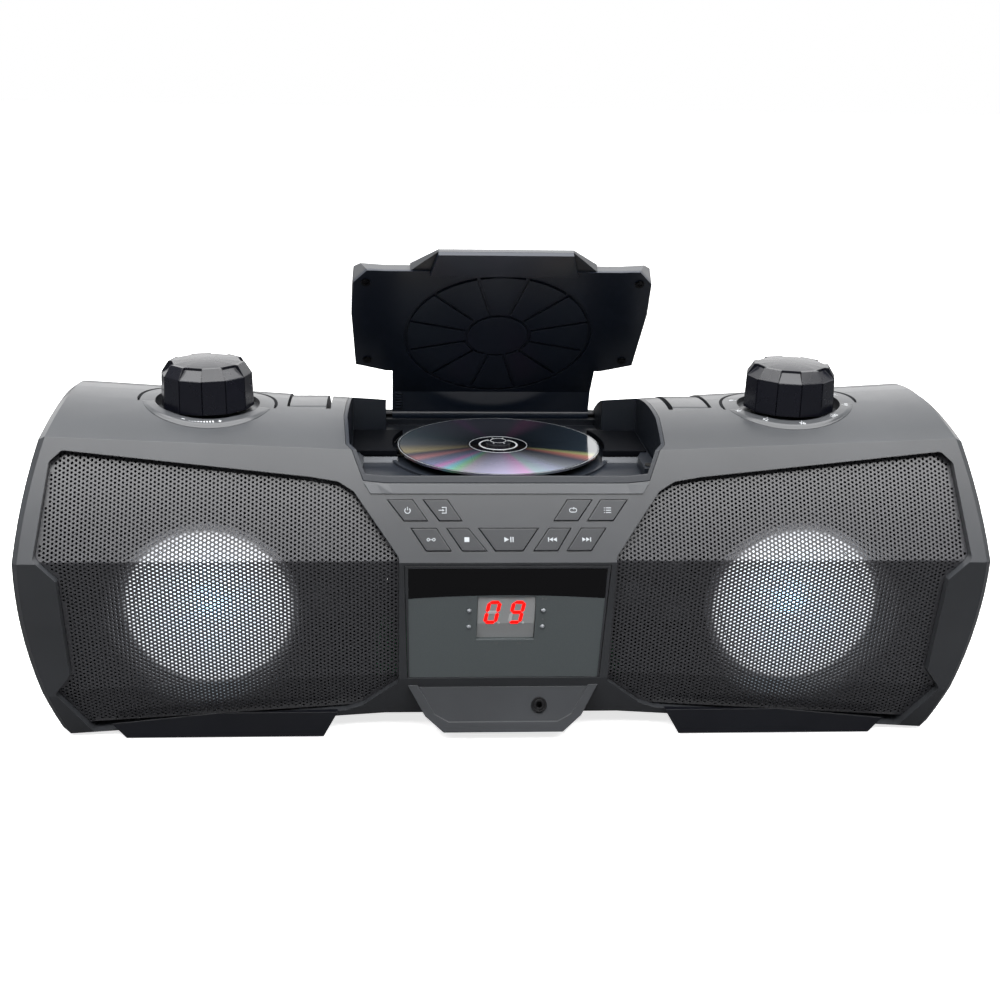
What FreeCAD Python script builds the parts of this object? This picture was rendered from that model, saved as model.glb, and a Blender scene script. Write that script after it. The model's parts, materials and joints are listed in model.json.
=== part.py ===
import FreeCAD, Part
import math
import os

from FreeCAD import Vector

# A portable CD, radio and streaming boombox.  Millimetres; +X to the right, -Y to the front, +Z up;
# the origin is on the floor, under the middle of the case.  The disc lid stands open.

# ---------------------------------------------------------------- driving dimensions

WALL = 2.6                     # case wall
PARTING_Y = 8.0                # plane where the front and rear shells meet

# Case section at full size: half of it, from the ridge down to the bottom edge.  The rear differs
# only in its ridge, which lies further back on the same arched top.
RIDGE = (61.0, 173.0)
MID = (96.0, 113.0)
LOW = (83.0, 30.0)
BOTTOM = (74.0, 2.0)
CREST_Z = 184.7
TOP_RADIUS = 167.0
REAR_RIDGE_Y = 85.0

# The section shrinks about SCALE_Z from the ends to the middle of the case.
SCALE_Z = 80.0
TAPER = 0.000568               # loss of scale per millimetre of X
FULL_X = 250.0                 # where the section has its full size
MIDDLE_X = 67.0                # half-length of the straight middle
END_RADIUS = 265.0             # the ends are one big cylinder about a Y axis
END_Z = 95.0
END_BEVEL = 3.4

GRILLE_DEPTH = 5.0             # the grille lies this far under the case surface
GRILLE_SHEET = 0.9
FRAME_LAND = 2.4               # wall round a grille opening

# Speakers, one each side.
SPEAKER_X = 165.0
SPEAKER_Z = 76.5
SPEAKER_FACE_Y = -64.0         # front of the speaker's flange
CONE_RADIUS = 41.0
SURROUND_RADIUS = 50.0
BASKET_RADIUS = 54.0
SPEAKER_LEAN = 5.0             # degrees the speakers look down

# Knobs.
KNOB_X = 168.5
KNOB_Y = -8.0
KNOB_RADIUS = 26.5
KNOB_TOP_RADIUS = 21.6
KNOB_SIDE = 18.2
KNOB_BEVEL = 6.4
KNOB_DOME = 1.3
KNOB_STEP = 1.2                # how far the alternate bevel facets lie back
KNOB_SECTORS = 12
RECESS_RADIUS = 29.5
RECESS_DEPTH = 4.5
RING_RADIUS = 38.8

# Disc, its well and the lid.
DISC_RADIUS = 60.0
DISC_Y = 5.0
DISC_Z = 148.9                 # underside of the disc
DISC_THICK = 1.2
WELL_FLOOR_Z = 144.6
WELL_HALF = 86.6
WELL_WAIST_HALF = 88.4         # the sides of the well bulge a little
WELL_WAIST_Y = -20.0
WELL_NECK_HALF = 66.5
WELL_NECK_Y = 41.0
WELL_REAR_Y = 84.0
WELL_FRONT_Y = -61.5
WELL_FRONT_HALF = 78.0
DECK_WALL = 2.0

HINGE_Y = 76.0
HINGE_Z = 149.5
LID_OPEN = 49.0                # degrees from shut to where the lid stands
LID_GAP = 1.6
LID_REAR_GAP = 3.8             # more room behind, where the wings swing back
LID_INNER_Z = 154.6            # flat inner face when shut
LID_SKIN = 2.2
PIN_RADIUS = 2.0

# Handle.
HANDLE_X = 111.5
ARM_WIDTH = 21.0
ARM_THICK = 9.0
HANDLE_PIVOT_Y = -4.0
CHANNEL_OUTER = 1.3            # gap beside an arm, on the side of the case's end
CHANNEL_INNER = 2.7            # and on the side of the lid

# Keys: travel and clearance.
KEY_TRAVEL = 0.9
KEY_GAP = 0.35

# ---------------------------------------------------------------- small helpers


def moved(shape, x=0.0, y=0.0, z=0.0):
    out = shape.copy()
    out.translate(Vector(x, y, z))
    return out


def turned(shape, base, axis, degrees):
    out = shape.copy()
    out.rotate(Vector(*base), Vector(*axis), degrees)
    return out


def mirrored(shape):
    """The same piece on the other side of the case."""
    return shape.mirror(Vector(0, 0, 0), Vector(1, 0, 0))


def box(x0, x1, y0, y1, z0, z1):
    return Part.makeBox(x1 - x0, y1 - y0, z1 - z0, Vector(x0, y0, z0))


def rod(radius, length, base, axis=(0, 0, 1)):
    return Part.makeCylinder(radius, length, Vector(*base), Vector(*axis))


def ring(outer, inner, height, base, axis=(0, 0, 1)):
    return rod(outer, height, base, axis).cut(rod(inner, height, base, axis))


def prism(points, direction):
    """A straight prism from a closed flat outline of 3-D points."""
    corners = [Vector(*point) for point in points]
    face = Part.Face(Part.makePolygon(corners + corners[:1]))
    return face.extrude(Vector(*direction))


def fused(pieces):
    return pieces[0].multiFuse(pieces[1:]).removeSplitter()


def group(pieces):
    return Part.makeCompound(pieces)


# ---------------------------------------------------------------- the case section


def scale_at(x):
    """Scale of the case section at a place along the case."""
    return 1.0 - (FULL_X - max(abs(x), MIDDLE_X)) * TAPER


def scaled(point, scale):
    y, z = point
    return (y * scale, SCALE_Z + (z - SCALE_Z) * scale)


def arc_z(y, scale, inset=0.0):
    """Height of the arched top at y."""
    radius = TOP_RADIUS * scale
    centre_z = SCALE_Z + (CREST_Z - SCALE_Z) * scale - radius
    return centre_z + math.sqrt((radius - inset) ** 2 - y * y)


def offset_line(first, second, inset):
    """The line from first to second, moved inset to its left."""
    dy, dz = second[0] - first[0], second[1] - first[1]
    length = math.hypot(dy, dz)
    shift = (-dz / length * inset, dy / length * inset)
    return (first[0] + shift[0], first[1] + shift[1]), (dy, dz)


def meet(line_a, line_b):
    (ay, az), (ady, adz) = line_a
    (by, bz), (bdy, bdz) = line_b
    along = ((by - ay) * bdz - (bz - az) * bdy) / (ady * bdz - adz * bdy)
    return (ay + along * ady, az + along * adz)


def meet_arc(line, scale, inset):
    """Where a line meets the arched top."""
    (y, z), (dy, dz) = line
    radius = TOP_RADIUS * scale
    centre_z = SCALE_Z + (CREST_Z - SCALE_Z) * scale - radius
    radius -= inset
    a = dy * dy + dz * dz
    b = 2 * (y * dy + (z - centre_z) * dz)
    c = y * y + (z - centre_z) ** 2 - radius * radius
    roots = [(-b + sign * math.sqrt(b * b - 4 * a * c)) / (2 * a) for sign in (1, -1)]
    along = max(roots, key=lambda t: z + t * dz)
    return (y + along * dy, z + along * dz)


def section_corners(scale, inset):
    """Corners of the section, from the front ridge down, round and up to the rear ridge."""
    front = [(-y, z) for y, z in (RIDGE, MID, LOW, BOTTOM)]
    rear = [BOTTOM, LOW, MID, (REAR_RIDGE_Y, arc_z(REAR_RIDGE_Y, 1.0))]
    corners = [scaled(point, scale) for point in front + rear]
    lines = [offset_line(corners[i], corners[i + 1], inset) for i in range(len(corners) - 1)]
    inner = [meet(lines[i], lines[i + 1]) for i in range(len(lines) - 1)]
    return [meet_arc(lines[0], scale, inset)] + inner + [meet_arc(lines[-1], scale, inset)]


def section_edges(x, scale, inset):
    corners = [Vector(x, y, z) for y, z in section_corners(scale, inset)]
    edges = [Part.LineSegment(corners[i], corners[i + 1]).toShape() for i in range(len(corners) - 1)]
    crest = Vector(x, 0, arc_z(0.0, scale, inset))
    edges.append(Part.Arc(corners[-1], crest, corners[0]).toShape())
    return edges


def length_of_case(x0, x1, inset):
    """The solid between two sections: flat facets and the arched top."""
    first = section_edges(x0, scale_at(x0), inset)
    last = section_edges(x1, scale_at(x1), inset)
    faces = [Part.Face(Part.Wire(edges)) for edges in (first, last)]
    for edge_a, edge_b in zip(first[:-1], last[:-1]):
        start_a, end_a = (vertex.Point for vertex in edge_a.Vertexes)
        start_b, end_b = (vertex.Point for vertex in edge_b.Vertexes)
        faces.append(Part.Face(Part.makePolygon([start_a, end_a, end_b, start_b, start_a])))
    faces.append(Part.makeRuledSurface(first[-1], last[-1]))
    shell = Part.makeCompound(faces)
    shell.sewShape()
    solid = Part.Solid(Part.Shell(shell.Faces))
    if solid.Volume < 0:
        solid.reverse()
    return solid


def case_solid(inset):
    """The whole case as a solid, with every face moved inward by inset."""
    far = END_RADIUS + 10.0
    ends = rod(END_RADIUS - inset, 300.0, (0, -150, END_Z), (0, 1, 0))
    bay = length_of_case(MIDDLE_X, far, inset).common(ends)
    middle = length_of_case(-MIDDLE_X, MIDDLE_X, inset)
    return fused([middle, bay, mirrored(bay)])


def facet_frame(upper, lower, side=0):
    """Origin, unit vector down the facet and outward normal of a front facet.

    side is 0 for the straight middle and +1 or -1 for the tapered bays."""
    scale = scale_at(0.0)
    uy, uz = scaled((-upper[0], upper[1]), scale)
    ly, lz = scaled((-lower[0], lower[1]), scale)
    down = Vector(0, ly - uy, lz - uz).normalize()
    along = Vector(1, 0, 0)
    if side:
        along = Vector(side, -upper[0] * TAPER, (upper[1] - SCALE_Z) * TAPER).normalize()
    normal = along.cross(down).normalize()
    if normal.y > 0:
        normal = normal * -1
    return Vector(side * MIDDLE_X, uy, uz), down, normal


CONTROL_ORIGIN, CONTROL_DOWN, CONTROL_OUT = facet_frame(RIDGE, MID)
DISPLAY_ORIGIN, DISPLAY_DOWN, DISPLAY_OUT = facet_frame(MID, LOW)


def on_control(x, down, out=0.0):
    point = CONTROL_ORIGIN + CONTROL_DOWN * down + CONTROL_OUT * out
    return Vector(x, point.y, point.z)


def on_display(x, down, out=0.0):
    point = DISPLAY_ORIGIN + DISPLAY_DOWN * down + DISPLAY_OUT * out
    return Vector(x, point.y, point.z)


def facet_prism(place, outline, low, high):
    """A prism on a facet, from out=low to out=high; outline is (x, down) pairs."""
    base = [place(x, down, low) for x, down in outline]
    rise = place(0, 0, high) - place(0, 0, low)
    return prism(base, rise)


# ---------------------------------------------------------------- grilles and speakers

# Right-hand grille opening as seen from the front, (x, z).
GRILLE_OUTLINE = [
    (240.5, 166.5), (107.0, 151.5), (92.5, 149.0), (84.0, 144.0), (59.5, 112.0), (59.5, 32.5),
    (79.5, 16.5), (89.0, 13.0), (232.0, 3.0), (249.5, 31.0), (240.5, 43.0), (242.0, 102.0),
    (253.0, 115.0), (247.0, 161.0),
]


GRILLE_CORNER = 3.0


def grown(outline, growth):
    """An outline in the XZ plane with its outer corners rounded, moved outward by growth."""
    corners = [Vector(x, 0, z) for x, z in outline]
    wire = Part.makePolygon(corners + corners[:1]).makeOffset2D(-GRILLE_CORNER, 2)
    return wire.makeOffset2D(GRILLE_CORNER + growth, 0)


def grille_prism(growth):
    face = Part.Face(grown(GRILLE_OUTLINE, growth))
    face.translate(Vector(0, -125, 0))
    return face.extrude(Vector(0, 85, 0))


def speaker_lean(shape, side):
    """Places a speaker part, drawn about the origin and facing -Y."""
    out = turned(shape, (0, 0, 0), (1, 0, 0), SPEAKER_LEAN)
    return moved(out, side * SPEAKER_X, SPEAKER_FACE_Y, SPEAKER_Z)


def revolved(profile):
    """A solid of revolution about the Y axis from (radius, y) corners."""
    corners = [Vector(radius, y, 0) for radius, y in profile]
    face = Part.Face(Part.makePolygon(corners + corners[:1]))
    return face.revolve(Vector(0, 0, 0), Vector(0, 1, 0), 360)


def make_speaker_frame():
    flange = ring(BASKET_RADIUS, 48.0, 2.5, (0, 0, 0), (0, 1, 0))
    basket = revolved([(50.5, 2.5), (48.0, 2.5), (27.0, 30.0), (27.0, 33.0), (30.0, 33.0)])
    windows = [
        turned(box(-9, 9, 6, 27, 0, 60), (0, 0, 0), (0, 1, 0), 60 * step) for step in range(6)
    ]
    back = ring(30.0, 12.6, 2.0, (0, 31, 0), (0, 1, 0))
    return fused([flange, basket.cut(group(windows)), back])


def make_speaker_surround():
    """A half-roll rubber ring between the cone and the flange."""
    middle = (CONE_RADIUS + SURROUND_RADIUS) / 2
    half = (SURROUND_RADIUS - CONE_RADIUS) / 2
    outer = Part.makeTorus(middle, half - 0.6, Vector(0, -0.2, 0), Vector(0, 1, 0))
    inner = Part.makeTorus(middle, half - 1.5, Vector(0, -0.2, 0), Vector(0, 1, 0))
    front = rod(60, 12, (0, -12.2, 0), (0, 1, 0))
    lip = ring(SURROUND_RADIUS, SURROUND_RADIUS - 1.6, 0.8, (0, -0.9, 0), (0, 1, 0))
    return outer.cut(inner).common(front).fuse(lip).removeSplitter()


def make_speaker_cone():
    """Paper cone with its dust cap and the voice-coil former behind."""
    cone = revolved([(CONE_RADIUS, -0.9), (CONE_RADIUS, 0.1), (13.0, 15.0), (12.0, 14.4)])
    cap_radius = 18.0
    cap = Part.makeSphere(cap_radius, Vector(0, 21.5, 0)).common(rod(13.0, 12, (0, 3, 0), (0, 1, 0)))
    hollow = Part.makeSphere(cap_radius - 0.8, Vector(0, 21.5, 0))
    former = ring(12.0, 11.2, 14.0, (0, 14.0, 0), (0, 1, 0))
    return fused([cone, cap.cut(hollow), former])


def make_speaker_magnet():
    plate = ring(27.0, 12.8, 4.0, (0, 33, 0), (0, 1, 0))
    magnet = ring(30.0, 12.8, 12.0, (0, 37, 0), (0, 1, 0))
    back = rod(27.0, 4.0, (0, 49, 0), (0, 1, 0))
    pole = rod(10.4, 16.0, (0, 34, 0), (0, 1, 0))
    return fused([plate, magnet, back, pole])


def make_speaker_light():
    """The lamp ring round the speaker's flange, with its small lamps."""
    board = ring(BASKET_RADIUS + 4, BASKET_RADIUS + 0.5, 1.6, (0, 0.4, 0), (0, 1, 0))
    lamps = []
    for step in range(12):
        lamp = box(-2.5, 2.5, -0.6, 0.4, BASKET_RADIUS + 1.2, BASKET_RADIUS + 3.6)
        lamps.append(turned(lamp, (0, 0, 0), (0, 1, 0), 30 * step))
    return fused([board] + lamps)


# ---------------------------------------------------------------- the case shells

# Key outlines on the control facet: centre of the top edge, top and bottom widths, drop and slant.
# A key's bottom edge is shifted inwards, towards the middle of the case.
KEY_ROW_1 = 27.4
KEY_ROW_2 = 43.3
KEY_DROP_1 = 11.5
KEY_DROP_2 = 12.3


def slanted_key(x0, x1, shift, narrowing, top, drop):
    return [(x0, top), (x1, top), (x1 + shift - narrowing, top + drop), (x0 + shift, top + drop)]


KEYS = {
    "power_key": slanted_key(-65.5, -52.0, 8.8, 1.0, KEY_ROW_1, KEY_DROP_1),
    "source_key": slanted_key(-46.0, -33.0, 8.6, 1.0, KEY_ROW_1, KEY_DROP_1),
    "repeat_key": [(33.0, KEY_ROW_1), (46.5, KEY_ROW_1), (38.5, 38.9), (25.5, 38.9)],
    "program_key": [(51.5, KEY_ROW_1), (66.0, KEY_ROW_1), (58.0, 38.9), (44.0, 38.9)],
    "pair_key": slanted_key(-52.7, -39.2, 8.0, 0.2, KEY_ROW_2, KEY_DROP_2),
    "stop_key": slanted_key(-33.2, -21.8, 8.2, -1.6, KEY_ROW_2, KEY_DROP_2),
    "play_key": [(-15.7, KEY_ROW_2), (16.4, KEY_ROW_2), (8.0, 55.6), (-7.0, 55.6)],
    "previous_key": [(22.6, KEY_ROW_2), (34.4, KEY_ROW_2), (27.0, 55.6), (14.2, 55.6)],
    "next_key": [(40.4, KEY_ROW_2), (53.6, KEY_ROW_2), (45.4, 55.6), (32.4, 55.6)],
}

DISPLAY_TOP = 2.0
DISPLAY_BOTTOM = 74.6
DISPLAY_OUTLINE = [(-56.4, DISPLAY_TOP), (56.4, DISPLAY_TOP),
                   (54.3, DISPLAY_BOTTOM), (-54.3, DISPLAY_BOTTOM)]

# Well outline seen from above, right half, (x, y).
WELL_OUTLINE = [
    (WELL_FRONT_HALF, WELL_FRONT_Y), (WELL_HALF, -50.0), (WELL_WAIST_HALF, WELL_WAIST_Y),
    (WELL_HALF, WELL_NECK_Y - 7.0), (WELL_NECK_HALF, WELL_NECK_Y), (WELL_NECK_HALF, WELL_REAR_Y + 20),
]


def well_wire(growth):
    right = [Vector(x, y, 0) for x, y in WELL_OUTLINE]
    left = [Vector(-x, y, 0) for x, y in reversed(WELL_OUTLINE)]
    wire = Part.makePolygon(right + left + right[:1])
    return wire.makeOffset2D(growth, 2) if growth else wire


def well_prism(growth, z0, z1):
    face = Part.Face(well_wire(growth))
    face.translate(Vector(0, 0, z0))
    return face.extrude(Vector(0, 0, z1 - z0))


def surface_z(x, y):
    return arc_z(y, scale_at(x))


KNOB_SEAT_Z = surface_z(KNOB_X, KNOB_Y) - RECESS_DEPTH


CHANNEL_REAR_Y = 100.0


def handle_channel(growth, depth):
    """The slot for one arm, cut from the arched top."""
    inner = HANDLE_X - ARM_WIDTH / 2 - CHANNEL_INNER - growth
    outer = HANDLE_X + ARM_WIDTH / 2 + CHANNEL_OUTER + growth
    scale = scale_at(HANDLE_X)
    slot = box(inner, outer, -9.5 - growth, CHANNEL_REAR_Y, 100, 200)
    radius = TOP_RADIUS * scale - depth
    centre_z = SCALE_Z + (CREST_Z - SCALE_Z) * scale - TOP_RADIUS * scale
    core = rod(radius, 60, (HANDLE_X - 30, 0, centre_z), (1, 0, 0))
    return slot.cut(core)


CHANNEL_DEPTH = ARM_THICK + 1.2

BATTERY_DOOR_HALF = 66.0
BATTERY_DOOR_Z = (38.0, 104.0)
DOOR_PIN_RADIUS = 0.9
DOOR_PIN_Z = BATTERY_DOOR_Z[0] + 1.0

REAR_SCREWS = [(-225, 60), (225, 60), (-150, 12), (150, 12), (-205, 128), (205, 128)]


def rear_y(x, z):
    """Y of the rear surface below the rear middle crease."""
    scale = scale_at(x)
    low = scaled(LOW, scale)
    mid = scaled(MID, scale)
    bottom = scaled(BOTTOM, scale)
    ridge = scaled((REAR_RIDGE_Y, arc_z(REAR_RIDGE_Y, 1.0)), scale)
    for (y0, z0), (y1, z1) in ((bottom, low), (low, mid), (mid, ridge)):
        if z0 <= z <= z1:
            return y0 + (y1 - y0) * (z - z0) / (z1 - z0)
    return mid[0]


def make_shells():
    outer = bevelled(case_solid(0.0))
    inner = case_solid(WALL)
    shell = outer.cut(inner)

    # Walls round the grille openings.
    skin = outer.cut(case_solid(GRILLE_DEPTH + 1.8)).common(box(-270, 270, -120, -20, -5, 200))
    land = grille_prism(FRAME_LAND).cut(grille_prism(0.0))
    walls = skin.common(land)
    shell = shell.fuse([walls, mirrored(walls)])
    opening = grille_prism(0.0)
    shell = shell.cut([opening, mirrored(opening)])

    # Knob recesses: a cup under the surface, a bored floor and a ring groove behind.
    for side in (-1, 1):
        cup = rod(RECESS_RADIUS + 2, 12, (side * KNOB_X, KNOB_Y, KNOB_SEAT_Z - 2.5)).common(outer)
        recess = rod(RECESS_RADIUS, 30, (side * KNOB_X, KNOB_Y, KNOB_SEAT_Z))
        bore = rod(7.0, 30, (side * KNOB_X, KNOB_Y, KNOB_SEAT_Z - 10))
        groove = ring(RING_RADIUS + 0.6, RING_RADIUS - 0.6, 40, (side * KNOB_X, KNOB_Y, 160))
        groove = groove.cut(case_solid(1.3)).cut(box(-270, 270, -60, KNOB_Y - 6, 100, 220))
        shell = shell.fuse(cup).cut([recess, bore, groove])

    # Handle channels.
    channel = handle_channel(0.0, CHANNEL_DEPTH)
    trough = handle_channel(2.0, CHANNEL_DEPTH + 2.0).common(outer)
    shell = shell.fuse([trough, mirrored(trough)]).cut([channel, mirrored(channel)])
    shell = shell.cut(handle_pin_pair())

    # Disc well, keys and display.
    shell = shell.cut(well_prism(DECK_WALL + 0.2, WELL_FLOOR_Z - 2.2, 200).common(WELL_SPAN))
    cheek = box(WELL_NECK_HALF + DECK_WALL + 0.3, WELL_NECK_HALF + 9.0, 62, 90, 138, 165).common(outer)
    shell = shell.fuse([cheek, mirrored(cheek)])
    notch = box(-WELL_NECK_HALF, WELL_NECK_HALF, WELL_NECK_Y, 110, HINGE_Z, 200)
    cradle = rod(BARREL_RADIUS + 0.9, 2 * WELL_NECK_HALF, (-WELL_NECK_HALF, HINGE_Y, HINGE_Z), (1, 0, 0))
    pins = rod(PIN_RADIUS, 160, (-80, HINGE_Y, HINGE_Z), (1, 0, 0))
    shell = shell.cut([notch, cradle, pins])
    for outline in KEYS.values():
        wire = grown_outline(outline, KEY_GAP)
        shell = shell.cut(facet_prism(on_control, wire, -10, 10))
    display_hole = grown_outline(DISPLAY_OUTLINE, 0.3)
    shell = shell.cut(facet_prism(on_display, display_hole, -8, 8))

    # Rear: battery opening, mains inlet, screw holes and vents.
    z0, z1 = BATTERY_DOOR_Z
    door_reach = BATTERY_DOOR_HALF + 0.6
    shell = shell.cut(box(-door_reach, door_reach, 60, 110, z0 - 1.2, z1 + 0.6))
    pin_start = (-69, rear_y(0, DOOR_PIN_Z) - WALL / 2, DOOR_PIN_Z)
    door_pins = rod(DOOR_PIN_RADIUS + 0.06, 138, pin_start, (1, 0, 0))
    shell = shell.cut(door_pins)
    shell = shell.cut(box(INLET_X - 12.3, INLET_X + 12.3, 60, 110, INLET_Z - 8.3, INLET_Z + 8.3))
    holes = [rod(2.2, 60, (x, 60, z), (0, 1, 0)) for x, z in REAR_SCREWS]
    holes += [rod(4.2, 60, (x, rear_y(x, z) - 1.2, z), (0, 1, 0)) for x, z in REAR_SCREWS]
    vents = [box(x - 1.2, x + 1.2, 50, 110, 46, 86) for x in range(140, 209, 6)]
    shell = shell.cut(holes + vents)
    shell = shell.cut(rod(ANTENNA_BORE, 40, tuple(ANTENNA_PLACE - ANTENNA_OUT * 20), tuple(ANTENNA_OUT)))
    jack_mouth = tuple(JACK_PLACE + JACK_OUT * 10)
    shell = shell.cut(rod(JACK_RADIUS + 0.4, 40, jack_mouth, tuple(JACK_OUT * -1)))

    front = shell.common(box(-300, 300, -150, PARTING_Y - 0.05, -10, 250))
    rear = shell.common(box(-300, 300, PARTING_Y + 0.05, 150, -10, 250))
    return largest(front), largest(rear)


def largest(shape):
    return max(shape.Solids, key=lambda solid: solid.Volume)


def bevelled(solid):
    """Bevels the rims between the round ends and the rest of the case."""
    rims = []
    for face in solid.Faces:
        if not isinstance(face.Surface, Part.Cylinder):
            continue
        if abs(face.Surface.Axis.y) < 0.99:
            continue
        rims += [edge for edge in face.Edges]
    return solid.makeChamfer(END_BEVEL, rims)


def grown_outline(outline, growth):
    """A flat (x, down) outline, moved outward by growth."""
    corners = [Vector(x, down, 0) for x, down in outline]
    wire = Part.makePolygon(corners + corners[:1]).makeOffset2D(growth, 2)
    return [(vertex.X, vertex.Y) for vertex in wire.OrderedVertexes]


INLET_X = -165.0
INLET_Z = 62.0
HANDLE_PIN_RADIUS = 2.5
HANDLE_PIN_HOLD = 1.8           # how far each end of a pin goes into the case
HANDLE_PIVOT_Z = surface_z(HANDLE_X, HANDLE_PIVOT_Y) - ARM_THICK / 2 - 0.3
BARREL_RADIUS = 4.3
WELL_END_Y = 68.0              # rear wall of the well, under the lid's neck
WELL_SPAN = box(-300, 300, -200, WELL_END_Y + DECK_WALL, 0, 300)

# Jack panel: a chin under the display, leaning forward towards its foot.
CHIN_TOP = (-72.9, 30.5)
CHIN_FOOT = (-84.0, 6.0)
CHIN_OUTLINE = [(54.3, 30.5), (44.5, 14.5), (34.0, 6.0), (-34.0, 6.0), (-44.5, 14.5), (-54.3, 30.5)]
CHIN_INNER = [(49.5, 31.5), (39.0, 15.2), (31.0, 11.2), (-31.0, 11.2), (-39.0, 15.2), (-49.5, 31.5)]
CHIN_LEAN = math.atan2(CHIN_TOP[0] - CHIN_FOOT[0], CHIN_TOP[1] - CHIN_FOOT[1])
JACK_OUT = Vector(0, -math.cos(CHIN_LEAN), math.sin(CHIN_LEAN))
JACK_PLACE = Vector(20.5, -77.6, 20.0)
JACK_RADIUS = 4.3
JACK_BORE = 1.8
JACK_DEPTH = 11.0

# Telescopic antenna on the rear upper facet.
ANTENNA_BORE = 3.0
ANTENNA_X = 140.0
ANTENNA_Z = 147.0
ANTENNA_PLACE = Vector(ANTENNA_X, rear_y(ANTENNA_X, ANTENNA_Z), ANTENNA_Z)
REAR_UP = Vector(0, REAR_RIDGE_Y - MID[0], arc_z(REAR_RIDGE_Y, 1.0) - MID[1]).normalize()
REAR_ALONG = Vector(1, MID[0] * TAPER, (MID[1] - SCALE_Z) * TAPER).normalize()
ANTENNA_OUT = REAR_UP.cross(REAR_ALONG).normalize()
ANTENNA_SIDE = ANTENNA_OUT.cross(REAR_ALONG).normalize()
ANTENNA_HEIGHT = 6.4           # of the mast's axis over the case
MAST_LENGTH = 104.0

# ---------------------------------------------------------------- case trim and panels


def make_grille():
    sheet = case_solid(GRILLE_DEPTH).cut(case_solid(GRILLE_DEPTH + GRILLE_SHEET))
    return largest(sheet.common(grille_prism(-0.2)))


DIGIT_WINDOW = (-16.2, 16.2, 21.8, 49.6)
LAMPS = [(-20.6, 30.7), (-20.6, 41.1), (20.5, 30.7), (20.5, 41.1)]


def make_display_panel():
    plate = facet_prism(on_display, DISPLAY_OUTLINE, -2.6, -0.3)
    x0, x1, top, bottom = DIGIT_WINDOW
    window = facet_prism(on_display, [(x0, top), (x1, top), (x1, bottom), (x0, bottom)], -8, 8)
    lamp_holes = [lamp_rod(x, down, 1.5, -8, 8) for x, down in LAMPS]
    return plate.cut([window] + lamp_holes)


def lamp_rod(x, down, radius, low, high):
    return rod(radius, high - low, tuple(on_display(x, down, low)), tuple(DISPLAY_OUT))


def make_display_module():
    x0, x1, top, bottom = DIGIT_WINDOW
    gap = 0.2
    body = [(x0 + gap, top + gap), (x1 - gap, top + gap),
            (x1 - gap, bottom - gap), (x0 + gap, bottom - gap)]
    block = facet_prism(on_display, body, -10.4, -0.9)
    # The lower part of the face slopes back.
    slope_top = on_display(0, bottom - 10.5, -0.9)
    slope_end = on_display(0, bottom, -2.4)
    wedge = prism(
        [(-20, slope_top.y, slope_top.z), (-20, slope_end.y, slope_end.z),
         (-20, slope_end.y - 6, slope_end.z), (-20, slope_top.y - 6, slope_top.z)], (40, 0, 0))
    return block.cut(wedge)


def make_display_board():
    board = facet_prism(on_display, [(-50, 8), (50, 8), (50, 70), (-50, 70)], -12.2, -10.6)
    posts = [
        rod(2.5, 7.8, tuple(on_display(x, down, -10.6)), tuple(DISPLAY_OUT))
        for x in (-46, 46) for down in (12, 66)
    ]
    return fused([board] + posts)


def make_indicator_lights():
    lamps = []
    for x, down in LAMPS:
        stem = lamp_rod(x, down, 1.4, -10.6, -0.8)
        dome = Part.makeSphere(1.4, on_display(x, down, -0.8))
        lamps.append(stem.fuse(dome).removeSplitter())
    return group(lamps)


def make_jack_panel():
    outline = [(x, -95, z) for x, z in CHIN_OUTLINE]
    block = prism(outline, (0, 37, 0))
    block = block.cut(chin_cutter(0.0))
    pocket = prism([(x, -95, z) for x, z in CHIN_INNER], (0, 37, 0)).cut(chin_front(0.9))
    block = block.cut(pocket).cut(case_solid(-0.05))
    hole = rod(JACK_RADIUS + 0.05, 40, tuple(JACK_PLACE + JACK_OUT * 10), tuple(JACK_OUT * -1))
    return largest(block.cut(hole))


def chin_plane_y(z, depth):
    top_y, top_z = CHIN_TOP
    return top_y - (top_z - z) * math.tan(CHIN_LEAN) + depth / math.cos(CHIN_LEAN)


def chin_cutter(depth):
    """Everything in front of the chin's face, moved back by depth."""
    y0, y1 = chin_plane_y(-5, depth), chin_plane_y(40, depth)
    return prism([(-80, y0, -5), (-80, y1, 40), (-80, -140, 40), (-80, -140, -5)], (160, 0, 0))


def chin_front(depth):
    """Everything behind the chin's face, moved back by depth."""
    y0, y1 = chin_plane_y(-5, depth), chin_plane_y(40, depth)
    return prism([(-80, y0, -5), (-80, y1, 40), (-80, 40, 40), (-80, 40, -5)], (160, 0, 0))


def make_aux_jack():
    start = JACK_PLACE + JACK_OUT * 0.3
    inward = tuple(JACK_OUT * -1)
    barrel = rod(JACK_RADIUS, JACK_DEPTH + 1.2, tuple(start), inward)
    bore = rod(JACK_BORE, JACK_DEPTH, tuple(start), inward)
    groove = ring(JACK_RADIUS - 0.9, JACK_RADIUS - 1.3, 0.5, tuple(start), inward)
    return barrel.cut([bore, groove])


# ---------------------------------------------------------------- keys


def make_key(outline):
    cap = facet_prism(on_control, outline, -3.6, 0.5)
    flange = facet_prism(on_control, grown_outline(outline, 0.9), -4.6, -3.6)
    x, down = key_centre(outline)
    stem = rod(2.2, 3.4, tuple(on_control(x, down, -8.0)), tuple(CONTROL_OUT))
    return fused([cap, flange, stem])


def key_centre(outline):
    xs = [x for x, _ in outline]
    downs = [down for _, down in outline]
    return sum(xs) / len(xs), sum(downs) / len(downs)


SWITCH_TOP = -8.0 - KEY_TRAVEL - 0.1


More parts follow.
